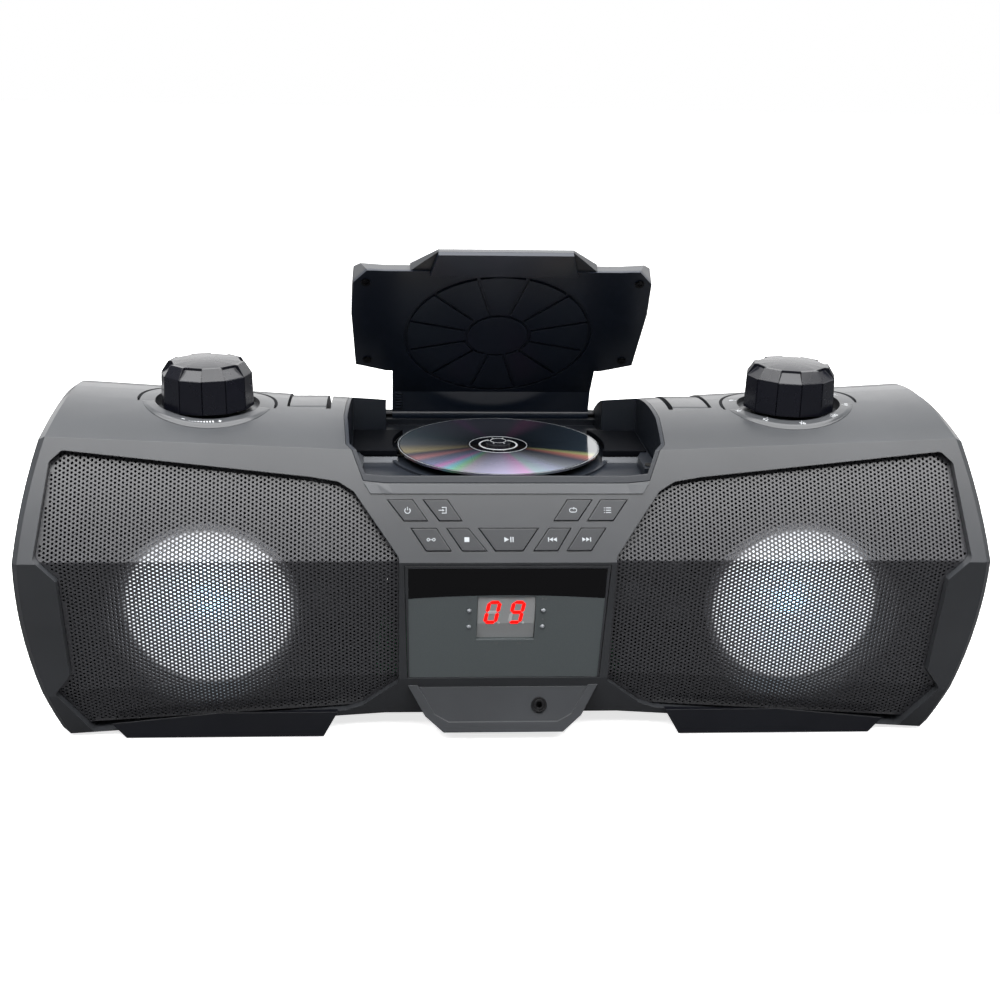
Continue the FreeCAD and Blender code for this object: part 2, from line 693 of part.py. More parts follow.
def make_key_board():
    board = facet_prism(on_control, [(-74, 24), (74, 24), (56, 58.5), (-56, 58.5)], -14.0, -12.4)
    pieces = [board]
    for outline in KEYS.values():
        x, down = key_centre(outline)
        corners = [(x - 3, down - 3), (x + 3, down - 3), (x + 3, down + 3), (x - 3, down + 3)]
        pieces.append(facet_prism(on_control, corners, -12.4, SWITCH_TOP - 1.0))
        start = tuple(on_control(x, down, SWITCH_TOP - 1.0))
        pieces.append(rod(1.7, 1.0, start, tuple(CONTROL_OUT)))
    return fused(pieces)


# ---------------------------------------------------------------- knobs and controls


def polygon_points(radius, z, turn=0.0):
    points = []
    for step in range(KNOB_SECTORS):
        angle = math.radians(360.0 / KNOB_SECTORS * step + turn)
        points.append((radius * math.cos(angle), radius * math.sin(angle), z))
    return points


def frustum(radius_0, radius_1, z0, z1):
    wires = []
    for radius, z in ((radius_0, z0), (radius_1, z1)):
        corners = [Vector(*point) for point in polygon_points(radius, z)]
        wires.append(Part.makePolygon(corners + corners[:1]))
    return Part.makeLoft(wires, True, True)


def knob_dome(top):
    """A shallow dome on the knob's crown."""
    base = KNOB_TOP_RADIUS - 1.0
    radius = (base ** 2 + KNOB_DOME ** 2) / (2 * KNOB_DOME)
    ball = Part.makeSphere(radius, Vector(0, 0, top + KNOB_DOME - radius))
    return ball.common(rod(base, KNOB_DOME + 1, (0, 0, top - 0.5)))


def make_knob(side):
    """A twelve-sided knob: every other bevel facet stands proud, and a groove runs down each corner."""
    bottom = 0.8
    shoulder = bottom + RECESS_DEPTH + KNOB_SIDE - 2.0
    top = shoulder + KNOB_BEVEL
    side_part = frustum(KNOB_RADIUS, KNOB_RADIUS - 0.6, bottom, shoulder)
    bevel = frustum(KNOB_RADIUS - 0.6, KNOB_TOP_RADIUS, shoulder, top)
    knob = fused([side_part, bevel, knob_dome(top)])
    low_bevel = frustum(KNOB_RADIUS - KNOB_STEP * 0.4, KNOB_TOP_RADIUS - KNOB_STEP * 1.4,
                        shoulder, top + 0.02)
    cuts = []
    step = 360.0 / KNOB_SECTORS
    reach = 40 * math.tan(math.radians(step / 2 - 0.8))
    for sector in range(0, KNOB_SECTORS, 2):
        corners = [(0, 0), (40, reach), (40, -reach)]
        wedge = prism([(x, y, shoulder + 0.2) for x, y in corners], (0, 0, 20))
        wedge = turned(wedge, (0, 0, 0), (0, 0, 1), step * (sector + 0.5))
        cuts.append(wedge.cut(low_bevel).cut(rod(KNOB_TOP_RADIUS - 2.6, 50, (0, 0, 0))))
    for sector in range(KNOB_SECTORS):
        groove = box(KNOB_RADIUS - 1.5, KNOB_RADIUS + 2, -0.45, 0.45, 0, shoulder + 0.5)
        cuts.append(turned(groove, (0, 0, 0), (0, 0, 1), step * sector))
    hollow = rod(KNOB_RADIUS - 5, 16, (0, 0, bottom - 1)).cut(rod(6.0, 30, (0, 0, 0)))
    knob = knob.cut(cuts).cut(hollow)
    stem = rod(3.0, 13.0, (0, 0, -12.0))
    return moved(fused([knob, stem]), side * KNOB_X, KNOB_Y, KNOB_SEAT_Z)


def make_control(side, width, height):
    """The potentiometer or capacitor under a knob, with its bushing."""
    top = -3.4
    body = box(-width / 2, width / 2, -width / 2, width / 2, top - 3.0 - height, top - 3.0)
    bushing = rod(5.0, 3.0, (0, 0, top - 3.0))
    lugs = [box(x - 0.6, x + 0.6, width / 2, width / 2 + 5, top - 5.5, top - 4.7) for x in (-5, 0, 5)]
    bore = rod(3.06, 12.0, (0, 0, -13.2))
    control = fused([body, bushing] + lugs).cut(bore)
    return moved(control, side * KNOB_X, KNOB_Y, KNOB_SEAT_Z)


# ---------------------------------------------------------------- disc well and mechanism

DAMPER_SPOTS = [(-76, -38), (26, -38), (26, 50), (-76, 50)]
CHASSIS_Z = 132.6
RAIL_Z = 139.4
RAIL_Y = (DISC_Y - 14.0, DISC_Y + 14.0)
RAIL_RADIUS = 1.5


def make_disc_deck():
    outer = well_prism(DECK_WALL, WELL_FLOOR_Z - 2.0, 200).common(WELL_SPAN).common(case_solid(0.0))
    span = box(-300, 300, -200, WELL_END_Y, 0, 300)
    deck = outer.cut(well_prism(0.0, WELL_FLOOR_Z, 200).common(span))
    notch = box(-WELL_NECK_HALF, WELL_NECK_HALF, WELL_NECK_Y, 110, HINGE_Z - 1.0, 200)
    cradle = rod(BARREL_RADIUS + 0.9, 2 * WELL_NECK_HALF, (-WELL_NECK_HALF, HINGE_Y, HINGE_Z), (1, 0, 0))
    deck = deck.cut([notch, cradle])
    ledge = box(79.5, WELL_HALF + 0.5, -44, 36, WELL_FLOOR_Z - 0.5, 150.4)
    ledge = ledge.cut(rod(66.5, 40, (18.0, DISC_Y, 130)))
    rim = ring(65.5, 63.5, 1.6, (0, DISC_Y, WELL_FLOOR_Z - 0.2))
    posts = [rod(3.5, 4.4, (x, y, WELL_FLOOR_Z - 6.2)) for x, y in DAMPER_SPOTS]
    deck = fused([deck, ledge, mirrored(ledge), rim] + posts)
    hub_hole = rod(18.0, 10, (0, DISC_Y, WELL_FLOOR_Z - 5))
    slot = box(-66, -10, DISC_Y - 9, DISC_Y + 9, WELL_FLOOR_Z - 5, WELL_FLOOR_Z + 3)
    bumper_holes = [rod(1.2, 4, (side * 83.0, -38, 147)) for side in (-1, 1)]
    vents = [box(x - 0.9, x + 0.9, -58, -50, 140, 146) for x in range(-74, -50, 4)]
    pin_holes = rod(PIN_RADIUS, 160, (-80, HINGE_Y, HINGE_Z), (1, 0, 0))
    return largest(deck.cut([hub_hole, slot, pin_holes] + bumper_holes + vents))


def make_lid_bumpers():
    return group([
        fused([rod(2.4, 0.7, (side * 83.0, -38, 150.4)), rod(1.2, 3.4, (side * 83.0, -38, 147.0))])
        for side in (-1, 1)
    ])


def make_chassis():
    plate = box(-84, 34, -46, 58, CHASSIS_Z, CHASSIS_Z + 2.0)
    lugs = []
    for y in RAIL_Y:
        for x in (-79, -11):
            lugs.append(box(x - 2, x + 2, y - 4, y + 4, CHASSIS_Z + 1.5, RAIL_Z + 2.8))
    rails = [rod(RAIL_RADIUS, 90, (-90, y, RAIL_Z), (1, 0, 0)) for y in RAIL_Y]
    hub_hole = rod(9.0, 10, (0, DISC_Y, CHASSIS_Z - 4))
    slot = box(-72, -16, DISC_Y - 11, DISC_Y + 11, CHASSIS_Z - 2, CHASSIS_Z + 4)
    spots = [rod(2.0, 10, (x, y, CHASSIS_Z - 4)) for x, y in DAMPER_SPOTS]
    return fused([plate] + lugs).cut(rails + [hub_hole, slot] + spots)


def make_chassis_dampers():
    height = WELL_FLOOR_Z - 6.2 - CHASSIS_Z - 2.0
    return group([ring(5.0, 2.0, height, (x, y, CHASSIS_Z + 2.0)) for x, y in DAMPER_SPOTS])


def make_pickup_rails():
    return group([rod(RAIL_RADIUS, 72, (-81, y, RAIL_Z), (1, 0, 0)) for y in RAIL_Y])


def make_laser_pickup():
    block = box(-38, -15, RAIL_Y[0] - 4, RAIL_Y[1] + 4, RAIL_Z - 2.6, RAIL_Z + 2.4)
    tower = rod(6.0, 5.0, (-26, DISC_Y, RAIL_Z + 2.0))
    ball = Part.makeSphere(5.0, Vector(-26, DISC_Y, RAIL_Z + 3.8))
    lens = ball.common(rod(2.4, 3, (-26, DISC_Y, RAIL_Z + 6.8)))
    bores = [rod(RAIL_RADIUS + 0.06, 40, (-50, y, RAIL_Z), (1, 0, 0)) for y in RAIL_Y]
    return fused([block, tower, lens]).cut(bores)


def make_spindle_motor():
    can = rod(12.0, 9.0, (0, DISC_Y, CHASSIS_Z - 12.0))
    boss = rod(4.0, 3.0, (0, DISC_Y, CHASSIS_Z - 3.0))
    foot = box(-20, 20, DISC_Y - 4, DISC_Y + 4, CHASSIS_Z - 3.0, CHASSIS_Z)
    bore = rod(1.05, 9.0, (0, DISC_Y, CHASSIS_Z - 8.0))
    return fused([can, boss, foot]).cut(bore)


def make_turntable():
    plate = rod(14.0, 1.8, (0, DISC_Y, DISC_Z - 1.8))
    boss = rod(7.3, DISC_THICK + 1.6, (0, DISC_Y, DISC_Z))
    cap = Part.makeCone(7.3, 5.6, 0.8, Vector(0, DISC_Y, DISC_Z + DISC_THICK + 1.6))
    neck = rod(4.5, 8.0, (0, DISC_Y, DISC_Z - 9.8))
    shaft = rod(1.0, 22.0, (0, DISC_Y, CHASSIS_Z - 7.6))
    return fused([plate, boss, cap, neck, shaft])


def make_compact_disc():
    disc = ring(DISC_RADIUS, 7.5, DISC_THICK, (0, DISC_Y, DISC_Z))
    stack = ring(17.2, 16.6, 0.3, (0, DISC_Y, DISC_Z - 0.15))
    return disc.fuse(stack).removeSplitter()


def make_sled_motor():
    can = rod(7.5, 20.0, (-66, DISC_Y + 34, CHASSIS_Z - 8.0), (1, 0, 0))
    shaft = rod(1.0, 12.0, (-46, DISC_Y + 34, CHASSIS_Z - 8.0), (1, 0, 0))
    worm = rod(2.6, 8.0, (-43, DISC_Y + 34, CHASSIS_Z - 8.0), (1, 0, 0))
    return fused([can, shaft, worm])


# ---------------------------------------------------------------- lid


def opened(shape):
    """A lid piece drawn shut, turned to where the lid stands."""
    return turned(shape, (0, HINGE_Y, HINGE_Z), (1, 0, 0), -LID_OPEN)


NECK_HALF = 62.5
NECK_FLOOR_Z = 149.4
NECK_BEND_Y = 58.0             # where the flat inner face turns down to the hinge
NECK_TUCK = 14.0               # how far the neck runs in under the wings
TAB_REAR_HALF = 42.0
TAB_HALF = 37.6
TAB_TIP_Y = -75.5
TAB_Z = 152.8
LINER_THICK = 2.2
LINER_TOP = LID_INNER_Z + LINER_THICK
RIB_CIRCLE = (55.0, 19.0)
RIB_COUNT = 12
RIB_WIDTH = 2.2
RIB_DEPTH = 1.3
RUNG_X = (-60.5, -56.5)


def lid_envelope(growth, inset, floor_z):
    """The shut lid's wings, from floor_z up to the arched top."""
    wings = well_prism(growth, floor_z, 200)
    wings = wings.common(box(-300, 300, -200, WELL_NECK_Y - LID_GAP - LID_REAR_GAP, 0, 300))
    wings = wings.common(moved(well_prism(growth, floor_z, 200), y=-LID_REAR_GAP))
    return wings.common(case_solid(inset))


def neck_slab(outer_inset, inner_inset):
    slab = box(-NECK_HALF, NECK_HALF, WELL_NECK_Y - NECK_TUCK, HINGE_Y - 3.0, NECK_FLOOR_Z, 200)
    return slab.common(case_solid(outer_inset)).cut(case_solid(inner_inset))


def hinge_rod(radius, half):
    return rod(radius, 2 * half, (-half, HINGE_Y, HINGE_Z), (1, 0, 0))


def make_lid_shell():
    wings = lid_envelope(-LID_GAP, 0.15, LINER_TOP)
    hollow = lid_envelope(-LID_GAP - LID_SKIN, LID_SKIN, LINER_TOP - 1)
    neck = neck_slab(0.15, LID_SKIN + 0.6)
    neck_room = box(-NECK_HALF + 0.1, NECK_HALF - 0.1, WELL_NECK_Y - NECK_TUCK, HINGE_Y, 140, 200)
    wings = wings.cut(hollow).cut(neck_room.common(case_solid(LID_SKIN + 0.6)))
    shell = fused([wings, neck, tab_skin()])
    return opened(largest(shell.cut([hinge_rod(BARREL_RADIUS + 0.3, NECK_HALF + 1), liner_shut()])))


def tab_skin():
    """The grey skin over the finger tab: it flares towards the wings."""
    rise = [(-52.0, 162.0), (-57.5, LINER_TOP - 1.0), (TAB_TIP_Y, TAB_Z + 2.6),
            (TAB_TIP_Y, TAB_Z + 4.4), (-56.0, 162.0)]
    wedge = prism([(-TAB_SKIN_HALF, y, z) for y, z in rise], (2 * TAB_SKIN_HALF, 0, 0))
    plan = [(-TAB_SKIN_HALF, -50.0), (-TAB_SKIN_HALF, -58.5), (-TAB_HALF, TAB_TIP_Y),
            (TAB_HALF, TAB_TIP_Y), (TAB_SKIN_HALF, -58.5), (TAB_SKIN_HALF, -50.0)]
    return wedge.common(prism([(x, y, 140) for x, y in plan], (0, 0, 60)))


TAB_SKIN_HALF = 53.0


def liner_neck():
    """The flat inner face goes on along the neck, then turns down to the hinge barrel."""
    flat = box(-NECK_HALF, NECK_HALF, WELL_NECK_Y - NECK_TUCK, NECK_BEND_Y + 6.0, LID_INNER_Z, LINER_TOP)
    bend = [(NECK_BEND_Y, LID_INNER_Z), (NECK_BEND_Y, LINER_TOP + 0.4), (HINGE_Y - 2.0, 154.0),
            (HINGE_Y + 2.0, HINGE_Z), (HINGE_Y - 2.5, HINGE_Z - 1.5)]
    root = prism([(-NECK_HALF, y, z) for y, z in bend], (2 * NECK_HALF, 0, 0))
    return fused([flat, root]).common(case_solid(LID_SKIN + 0.65))


def liner_rungs():
    """A rack for the lid's damper, down one edge of the neck."""
    rungs = []
    for step in range(6):
        y = NECK_BEND_Y + 1.0 + 1.9 * step
        z = LID_INNER_Z - (y - NECK_BEND_Y) * 0.425
        rungs.append(box(RUNG_X[0], RUNG_X[1], y - 0.5, y + 0.5, z - 0.9, z + 1.0))
    return rungs


def liner_shut():
    plate = lid_envelope(-LID_GAP, 0.15, LID_INNER_Z).common(box(-300, 300, -200, 300, 0, LINER_TOP))
    tab = prism(
        [(-TAB_REAR_HALF, -57.0, TAB_Z), (-TAB_HALF, TAB_TIP_Y, TAB_Z),
         (TAB_HALF, TAB_TIP_Y, TAB_Z), (TAB_REAR_HALF, -57.0, TAB_Z)], (0, 0, 2.6))
    body = fused([plate, liner_neck(), hinge_rod(BARREL_RADIUS, NECK_HALF), tab])
    cuts = [hinge_rod(PIN_RADIUS + 0.06, NECK_HALF + 1)]
    for radius in RIB_CIRCLE:
        inner = radius - RIB_WIDTH / 2
        cuts.append(ring(inner + RIB_WIDTH, inner, RIB_DEPTH + 0.1, (0, 0, LID_INNER_Z - 0.1)))
    for step in range(RIB_COUNT):
        half = RIB_WIDTH / 2
        groove = box(RIB_CIRCLE[1], RIB_CIRCLE[0], -half, half,
                     LID_INNER_Z - 0.1, LID_INNER_Z + RIB_DEPTH)
        cuts.append(turned(groove, (0, 0, 0), (0, 0, 1), 360 / RIB_COUNT * (step + 0.5)))
    cuts += [rod(1.3, 10, (x, y, LID_INNER_Z - 5)) for x, y in LID_SCREWS]
    return largest(fused([body] + liner_rungs()).cut(cuts))


def make_lid_liner():
    return opened(liner_shut())


LID_SCREWS = [(-78, -50), (78, -50), (-78, 24), (78, 24)]


def make_lid_screws():
    screws = []
    for x, y in LID_SCREWS:
        head = rod(2.6, 1.2, (x, y, LID_INNER_Z - 1.2))
        shank = rod(1.3, 5.0, (x, y, LID_INNER_Z - 0.2))
        cross = [box(x - 1.6, x + 1.6, y - 0.3, y + 0.3, LID_INNER_Z - 1.3, LID_INNER_Z - 0.7),
                 box(x - 0.3, x + 0.3, y - 1.6, y + 1.6, LID_INNER_Z - 1.3, LID_INNER_Z - 0.7)]
        screws.append(opened(head.fuse(shank).removeSplitter().cut(cross)))
    return group(screws)


def make_lid_pins():
    reach = WELL_NECK_HALF + 8.5
    return group([
        rod(PIN_RADIUS, reach - 52, (min(side * reach, side * 52), HINGE_Y, HINGE_Z), (1, 0, 0))
        for side in (-1, 1)
    ])


# ---------------------------------------------------------------- handle


def arc_band(outer_inset, inner_inset, x0, x1, y0, y1):
    """A strip that follows the arched top over the handle's arms."""
    radius = TOP_RADIUS * scale_at(HANDLE_X)
    centre_z = surface_z(HANDLE_X, 0.0) - radius
    width = x1 - x0
    outer = rod(radius - outer_inset, width, (x0, 0, centre_z), (1, 0, 0))
    inner = rod(radius - inner_inset, width, (x0, 0, centre_z), (1, 0, 0))
    return outer.cut(inner).common(box(x0, x1, y0, y1, centre_z, 220))


GRIP_Y = (85.6, 96.4)
GRIP_DEPTH = 12.5


def make_handle():
    half = ARM_WIDTH / 2
    pieces = []
    for side in (-1, 1):
        x0, x1 = side * HANDLE_X - half, side * HANDLE_X + half
        pieces.append(arc_band(0.3, 0.3 + ARM_THICK, x0, x1, HANDLE_PIVOT_Y, GRIP_Y[1]))
        pieces.append(rod(ARM_THICK / 2, ARM_WIDTH, (x0, HANDLE_PIVOT_Y, HANDLE_PIVOT_Z), (1, 0, 0)))
    pieces.append(arc_band(0.3, 0.3 + GRIP_DEPTH, -HANDLE_X - half, HANDLE_X + half, *GRIP_Y))
    bores = [
        rod(HANDLE_PIN_RADIUS + 0.06, 40,
            (side * HANDLE_X - 20, HANDLE_PIVOT_Y, HANDLE_PIVOT_Z), (1, 0, 0))
        for side in (-1, 1)
    ]
    return fused(pieces).cut(bores)


def handle_pin_pair():
    start = HANDLE_X - ARM_WIDTH / 2 - CHANNEL_INNER - HANDLE_PIN_HOLD
    length = ARM_WIDTH + CHANNEL_INNER + CHANNEL_OUTER + 2 * HANDLE_PIN_HOLD
    pin = rod(HANDLE_PIN_RADIUS, length, (start, HANDLE_PIVOT_Y, HANDLE_PIVOT_Z), (1, 0, 0))
    return [pin, mirrored(pin)]


def make_handle_pins():
    return group(handle_pin_pair())


# ---------------------------------------------------------------- antenna


def antenna_point(along, side, out):
    return ANTENNA_PLACE + REAR_ALONG * along + ANTENNA_SIDE * side + ANTENNA_OUT * out


def antenna_rod(radius, length, along, side, out, axis):
    return rod(radius, length, tuple(antenna_point(along, side, out)), tuple(axis))


def make_antenna_base():
    disc = antenna_rod(5.4, 3.0, 0, 0, 0.1, ANTENNA_OUT)
    shaft = antenna_rod(ANTENNA_BORE - 0.06, 9.0, 0, 0, -8.0, ANTENNA_OUT)
    collar = antenna_rod(4.4, 1.6, 0, 0, -8.0, ANTENNA_OUT)
    ears = []
    for side in (-3.8, 2.0):
        ears.append(antenna_rod(3.0, 1.8, 0, side, ANTENNA_HEIGHT, ANTENNA_SIDE))
        corners = [antenna_point(along, side, out)
                   for along, out in ((-3.0, 2.5), (3.0, 2.5),
                                      (3.0, ANTENNA_HEIGHT), (-3.0, ANTENNA_HEIGHT))]
        ears.append(prism([tuple(corner) for corner in corners], tuple(ANTENNA_SIDE * 1.8)))
    pin = antenna_rod(1.0, 7.4, 0, -3.7, ANTENNA_HEIGHT, ANTENNA_SIDE)
    return fused([disc, shaft, collar] + ears + [pin])


def make_antenna_tube():
    eye = antenna_rod(2.9, 3.6, 0, -1.8, ANTENNA_HEIGHT, ANTENNA_SIDE)
    root = antenna_rod(1.7, 8.0, 1.5, 0, ANTENNA_HEIGHT, REAR_ALONG)
    tube = antenna_rod(2.3, MAST_LENGTH - 9.0, 9.0, 0, ANTENNA_HEIGHT, REAR_ALONG)
    bore = antenna_rod(1.7, MAST_LENGTH - 13.0, 14.0, 0, ANTENNA_HEIGHT, REAR_ALONG)
    pin = antenna_rod(1.06, 10, 0, -5, ANTENNA_HEIGHT, ANTENNA_SIDE)
    return fused([eye, root, tube]).cut([bore, pin])


def make_antenna_rod():
    inner = antenna_rod(1.64, MAST_LENGTH - 16.0, 15.0, 0, ANTENNA_HEIGHT, REAR_ALONG)
    cap = antenna_rod(2.3, 4.0, MAST_LENGTH + 0.1, 0, ANTENNA_HEIGHT, REAR_ALONG)
    link = antenna_rod(1.64, 3.0, MAST_LENGTH - 2.0, 0, ANTENNA_HEIGHT, REAR_ALONG)
    return fused([inner, link, cap])


# ---------------------------------------------------------------- power, boards and feet


def make_battery_box():
    z0, z1 = BATTERY_DOOR_Z
    half = BATTERY_DOOR_HALF
    outer = box(-half + 0.5, half - 0.5, 34, 90, z0 + 0.5, z1 - 0.5)
    room = box(-half + 2.3, half - 2.3, 35.8, 95, z0 + 2.3, z1 - 2.3)
    ribs = [box(x - 0.8, x + 0.8, 35, 48, z0 + 2, z1 - 2) for x in (-32, 32)]
    shelf = box(-half + 2, half - 2, 35, 50, 70.2, 71.8)
    return fused([outer.cut(room)] + ribs + [shelf]).common(case_solid(WALL + 0.6))


def make_battery_door():
    z0, z1 = BATTERY_DOOR_Z
    skin = case_solid(0.0).cut(case_solid(WALL))
    door = skin.common(box(-BATTERY_DOOR_HALF, BATTERY_DOOR_HALF, 60, 110, z0, z1))
    ridges = []
    for step in range(5):
        z = z1 - 8 - 3 * step
        ridges.append(box(-14, 14, rear_y(0, z) - 1.0, rear_y(0, z) + 0.7, z - 0.6, z + 0.6))
    pins = rod(DOOR_PIN_RADIUS, 136, (-68, rear_y(0, DOOR_PIN_Z) - WALL / 2, DOOR_PIN_Z), (1, 0, 0))
    return fused([largest(door), pins] + ridges)


def make_ac_inlet():
    outer = box(INLET_X - 12, INLET_X + 12, 66, 100, INLET_Z - 8, INLET_Z + 8).common(case_solid(0.3))
    face_y = rear_y(INLET_X, INLET_Z)
    socket = box(INLET_X - 7.6, INLET_X + 7.6, face_y - 12, 110, INLET_Z - 4.2, INLET_Z + 4.2)
    pins = [rod(1.2, 10, (INLET_X + x, face_y - 12.5, INLET_Z), (0, 1, 0)) for x in (-4, 4)]
    return fused([outer.cut(socket)] + pins)


def make_main_board():
    z = 22.0
    board = box(-74, 74, -42, 26, z, z + 1.6)
    posts = [rod(2.6, 9.3, (x, y, z - 9.2)) for x in (-69, 69) for y in (-37, 21)]
    chips = [box(x, x + 14, y, y + 14, z + 1.5, z + 3.4) for x, y in ((-60, -30), (-20, -12), (24, -30))]
    cans = [rod(5.0, 16.0, (x, 12, z + 1.5)) for x in (-66, -53, 34, 47, 60)]
    fins = [box(x, x + 1.4, -4, 18, z + 1.5, z + 24) for x in range(-36, 10, 5)]
    spine = box(-36, 10.4, 6, 8, z + 1.5, z + 24)
    return fused([board] + posts + chips + cans + fins + [spine])


def make_power_transformer():
    core = box(-196, -148, 6, 48, 12, 50)
    window = box(-187, -157, 0, 60, 20, 42)
    bobbin = box(-186, -158, -2, 56, 20.2, 41.8)
    return fused([core.cut(window), bobbin])


def make_ferrite_antenna():
    rod_x = 118.0
    core = rod(4.5, 96, (rod_x, 52, 140), (1, 0, 0))
    coils = [ring(6.2, 4.4, 16, (rod_x + start, 52, 140), (1, 0, 0)) for start in (10, 66)]
    return fused([core] + coils)


FOOT_Y = (-77.0, 68.0)
PAD_SPOTS = [(118.0, -60.0), (198.0, -60.0), (118.0, 52.0), (198.0, 52.0)]
PAD_RADIUS = 8.5


def rectangle_wire(x0, x1, y0, y1, z):
    corners = [Vector(x0, y0, z), Vector(x1, y0, z), Vector(x1, y1, z), Vector(x0, y1, z)]
    return Part.makePolygon(corners + corners[:1])


def make_foot():
    y0, y1 = FOOT_Y
    low = rectangle_wire(102, 213, y0, y1, 0.8)
    high = rectangle_wire(94, 227, y0 + 4, y1 - 4, 14.0)
    block = Part.makeLoft([low, high], True, True).cut(case_solid(-0.05))
    pockets = [rod(PAD_RADIUS + 0.1, 2.0, (x, y, 0)) for x, y in PAD_SPOTS]
    return largest(block.cut(pockets))


def make_rubber_pads():
    return group([rod(PAD_RADIUS, 2.0, (side * x, y, 0)) for x, y in PAD_SPOTS for side in (-1, 1)])


def make_case_screws():
    screws = []
    for x, z in REAR_SCREWS:
        y = rear_y(x, z)
        head = rod(3.9, 1.8, (x, y - 1.2, z), (0, 1, 0))
        shank = rod(2.0, 16, (x, y - 16.2, z), (0, 1, 0))
        cross = [box(x - 2.2, x + 2.2, y + 0.1, y + 2, z - 0.4, z + 0.4),
                 box(x - 0.4, x + 0.4, y + 0.1, y + 2, z - 2.2, z + 2.2)]
        screws.append(head.fuse(shank).removeSplitter().cut(cross))
    return group(screws)


# ---------------------------------------------------------------- assembly


def both_sides(make):
    return group([speaker_lean(make(), side) for side in (-1, 1)])


def make_nodes():
    front, rear = make_shells()
    grille = make_grille()
    foot = make_foot()
    nodes = {
        "front_shell": front,
        "rear_shell": rear,
        "grille_right": grille,
        "grille_left": mirrored(grille),
        "foot_right": foot,
        "foot_left": mirrored(foot),
        "rubber_pads": make_rubber_pads(),
        "case_screws": make_case_screws(),
        "speaker_magnets": both_sides(make_speaker_magnet),
        "speaker_frames": both_sides(make_speaker_frame),
        "speaker_surrounds": both_sides(make_speaker_surround),
        "speaker_lights": both_sides(make_speaker_light),
        "display_panel": make_display_panel(),
        "display_module": make_display_module(),
        "display_board": make_display_board(),
        "indicator_lights": make_indicator_lights(),
        "jack_panel": make_jack_panel(),
        "aux_jack": make_aux_jack(),
        "key_board": make_key_board(),
        "volume_knob": make_knob(-1),
        "tuning_knob": make_knob(1),
        "volume_control": make_control(-1, 17.0, 8.0),
        "tuning_capacitor": make_control(1, 21.0, 13.0),
        "disc_deck": make_disc_deck(),
        "lid_bumpers": make_lid_bumpers(),
        "mechanism_chassis": make_chassis(),
        "chassis_dampers": make_chassis_dampers(),
        "pickup_rails": make_pickup_rails(),
        "laser_pickup": make_laser_pickup(),
        "spindle_motor": make_spindle_motor(),
        "turntable": make_turntable(),
        "compact_disc": make_compact_disc(),
        "sled_motor": make_sled_motor(),
        "lid_shell": make_lid_shell(),
        "lid_liner": make_lid_liner(),
        "lid_screws": make_lid_screws(),
        "lid_pins": make_lid_pins(),
        "handle": make_handle(),
        "handle_pins": make_handle_pins(),
        "antenna_base": make_antenna_base(),
        "antenna_tube": make_antenna_tube(),
        "antenna_rod": make_antenna_rod(),
        "battery_box": make_battery_box(),
        "battery_door": make_battery_door(),
        "ac_inlet": make_ac_inlet(),
        "main_board": make_main_board(),
        "power_transformer": make_power_transformer(),
        "ferrite_antenna": make_ferrite_antenna(),
    }
    for side, name in ((-1, "left"), (1, "right")):
        nodes["speaker_cone_" + name] = speaker_lean(make_speaker_cone(), side)
    for name, outline in KEYS.items():
        nodes[name] = make_key(outline)
    return nodes


def export(nodes):
    os.makedirs("parts", exist_ok=True)
    for name, shape in nodes.items():
        if not shape.isValid():
            print("not valid:", name)
        shape.exportStep("parts/" + name + ".step")
    print(len(nodes), "nodes")


export(make_nodes())
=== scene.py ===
"""A boombox with an open disc lid: its looks, built round the CAD frame. Metres, +Z up, front -Y."""

import json
import math

import bmesh
import bpy
from mathutils import Matrix, Vector
from mathutils.bvhtree import BVHTree

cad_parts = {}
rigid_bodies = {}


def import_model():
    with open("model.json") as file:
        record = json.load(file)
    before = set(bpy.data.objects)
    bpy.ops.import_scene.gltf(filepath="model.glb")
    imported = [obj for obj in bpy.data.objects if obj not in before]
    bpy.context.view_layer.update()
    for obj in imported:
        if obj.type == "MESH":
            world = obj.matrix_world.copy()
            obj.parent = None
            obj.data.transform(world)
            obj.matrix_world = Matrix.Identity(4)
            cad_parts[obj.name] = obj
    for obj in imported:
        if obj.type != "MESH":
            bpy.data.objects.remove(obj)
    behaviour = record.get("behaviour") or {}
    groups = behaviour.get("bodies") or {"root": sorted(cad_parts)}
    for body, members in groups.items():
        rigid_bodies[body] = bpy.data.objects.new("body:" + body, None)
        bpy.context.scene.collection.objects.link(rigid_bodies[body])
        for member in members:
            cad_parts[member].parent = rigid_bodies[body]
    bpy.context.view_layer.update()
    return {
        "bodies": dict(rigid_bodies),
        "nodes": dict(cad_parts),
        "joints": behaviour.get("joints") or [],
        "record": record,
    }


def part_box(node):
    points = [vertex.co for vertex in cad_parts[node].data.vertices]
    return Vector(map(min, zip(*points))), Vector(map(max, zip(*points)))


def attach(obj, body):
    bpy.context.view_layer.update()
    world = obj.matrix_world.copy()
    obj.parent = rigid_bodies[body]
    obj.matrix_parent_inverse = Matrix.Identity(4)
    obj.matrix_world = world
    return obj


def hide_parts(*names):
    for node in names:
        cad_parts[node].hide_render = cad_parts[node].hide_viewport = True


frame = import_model()

MM = 0.001
NODES = frame["nodes"]
SLOT_OF_NODE = {part["node"]: part["material_slot"] for part in frame["record"]["subparts"]}
BACKWARD = Vector((0, 1, 0))
DOWN = Vector((0, 0, -1))


def box_of(node):
    """The low and the high corner of a CAD node's box."""
    return [Vector(corner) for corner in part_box(node)]


def middle_of(node):
    low, high = box_of(node)
    return (low + high) / 2


def polar(radius, angle, x=0.0, y=0.0):
    """The flat point at a radius and an angle round x, y."""
    return x + radius * math.cos(angle), y + radius * math.sin(angle)


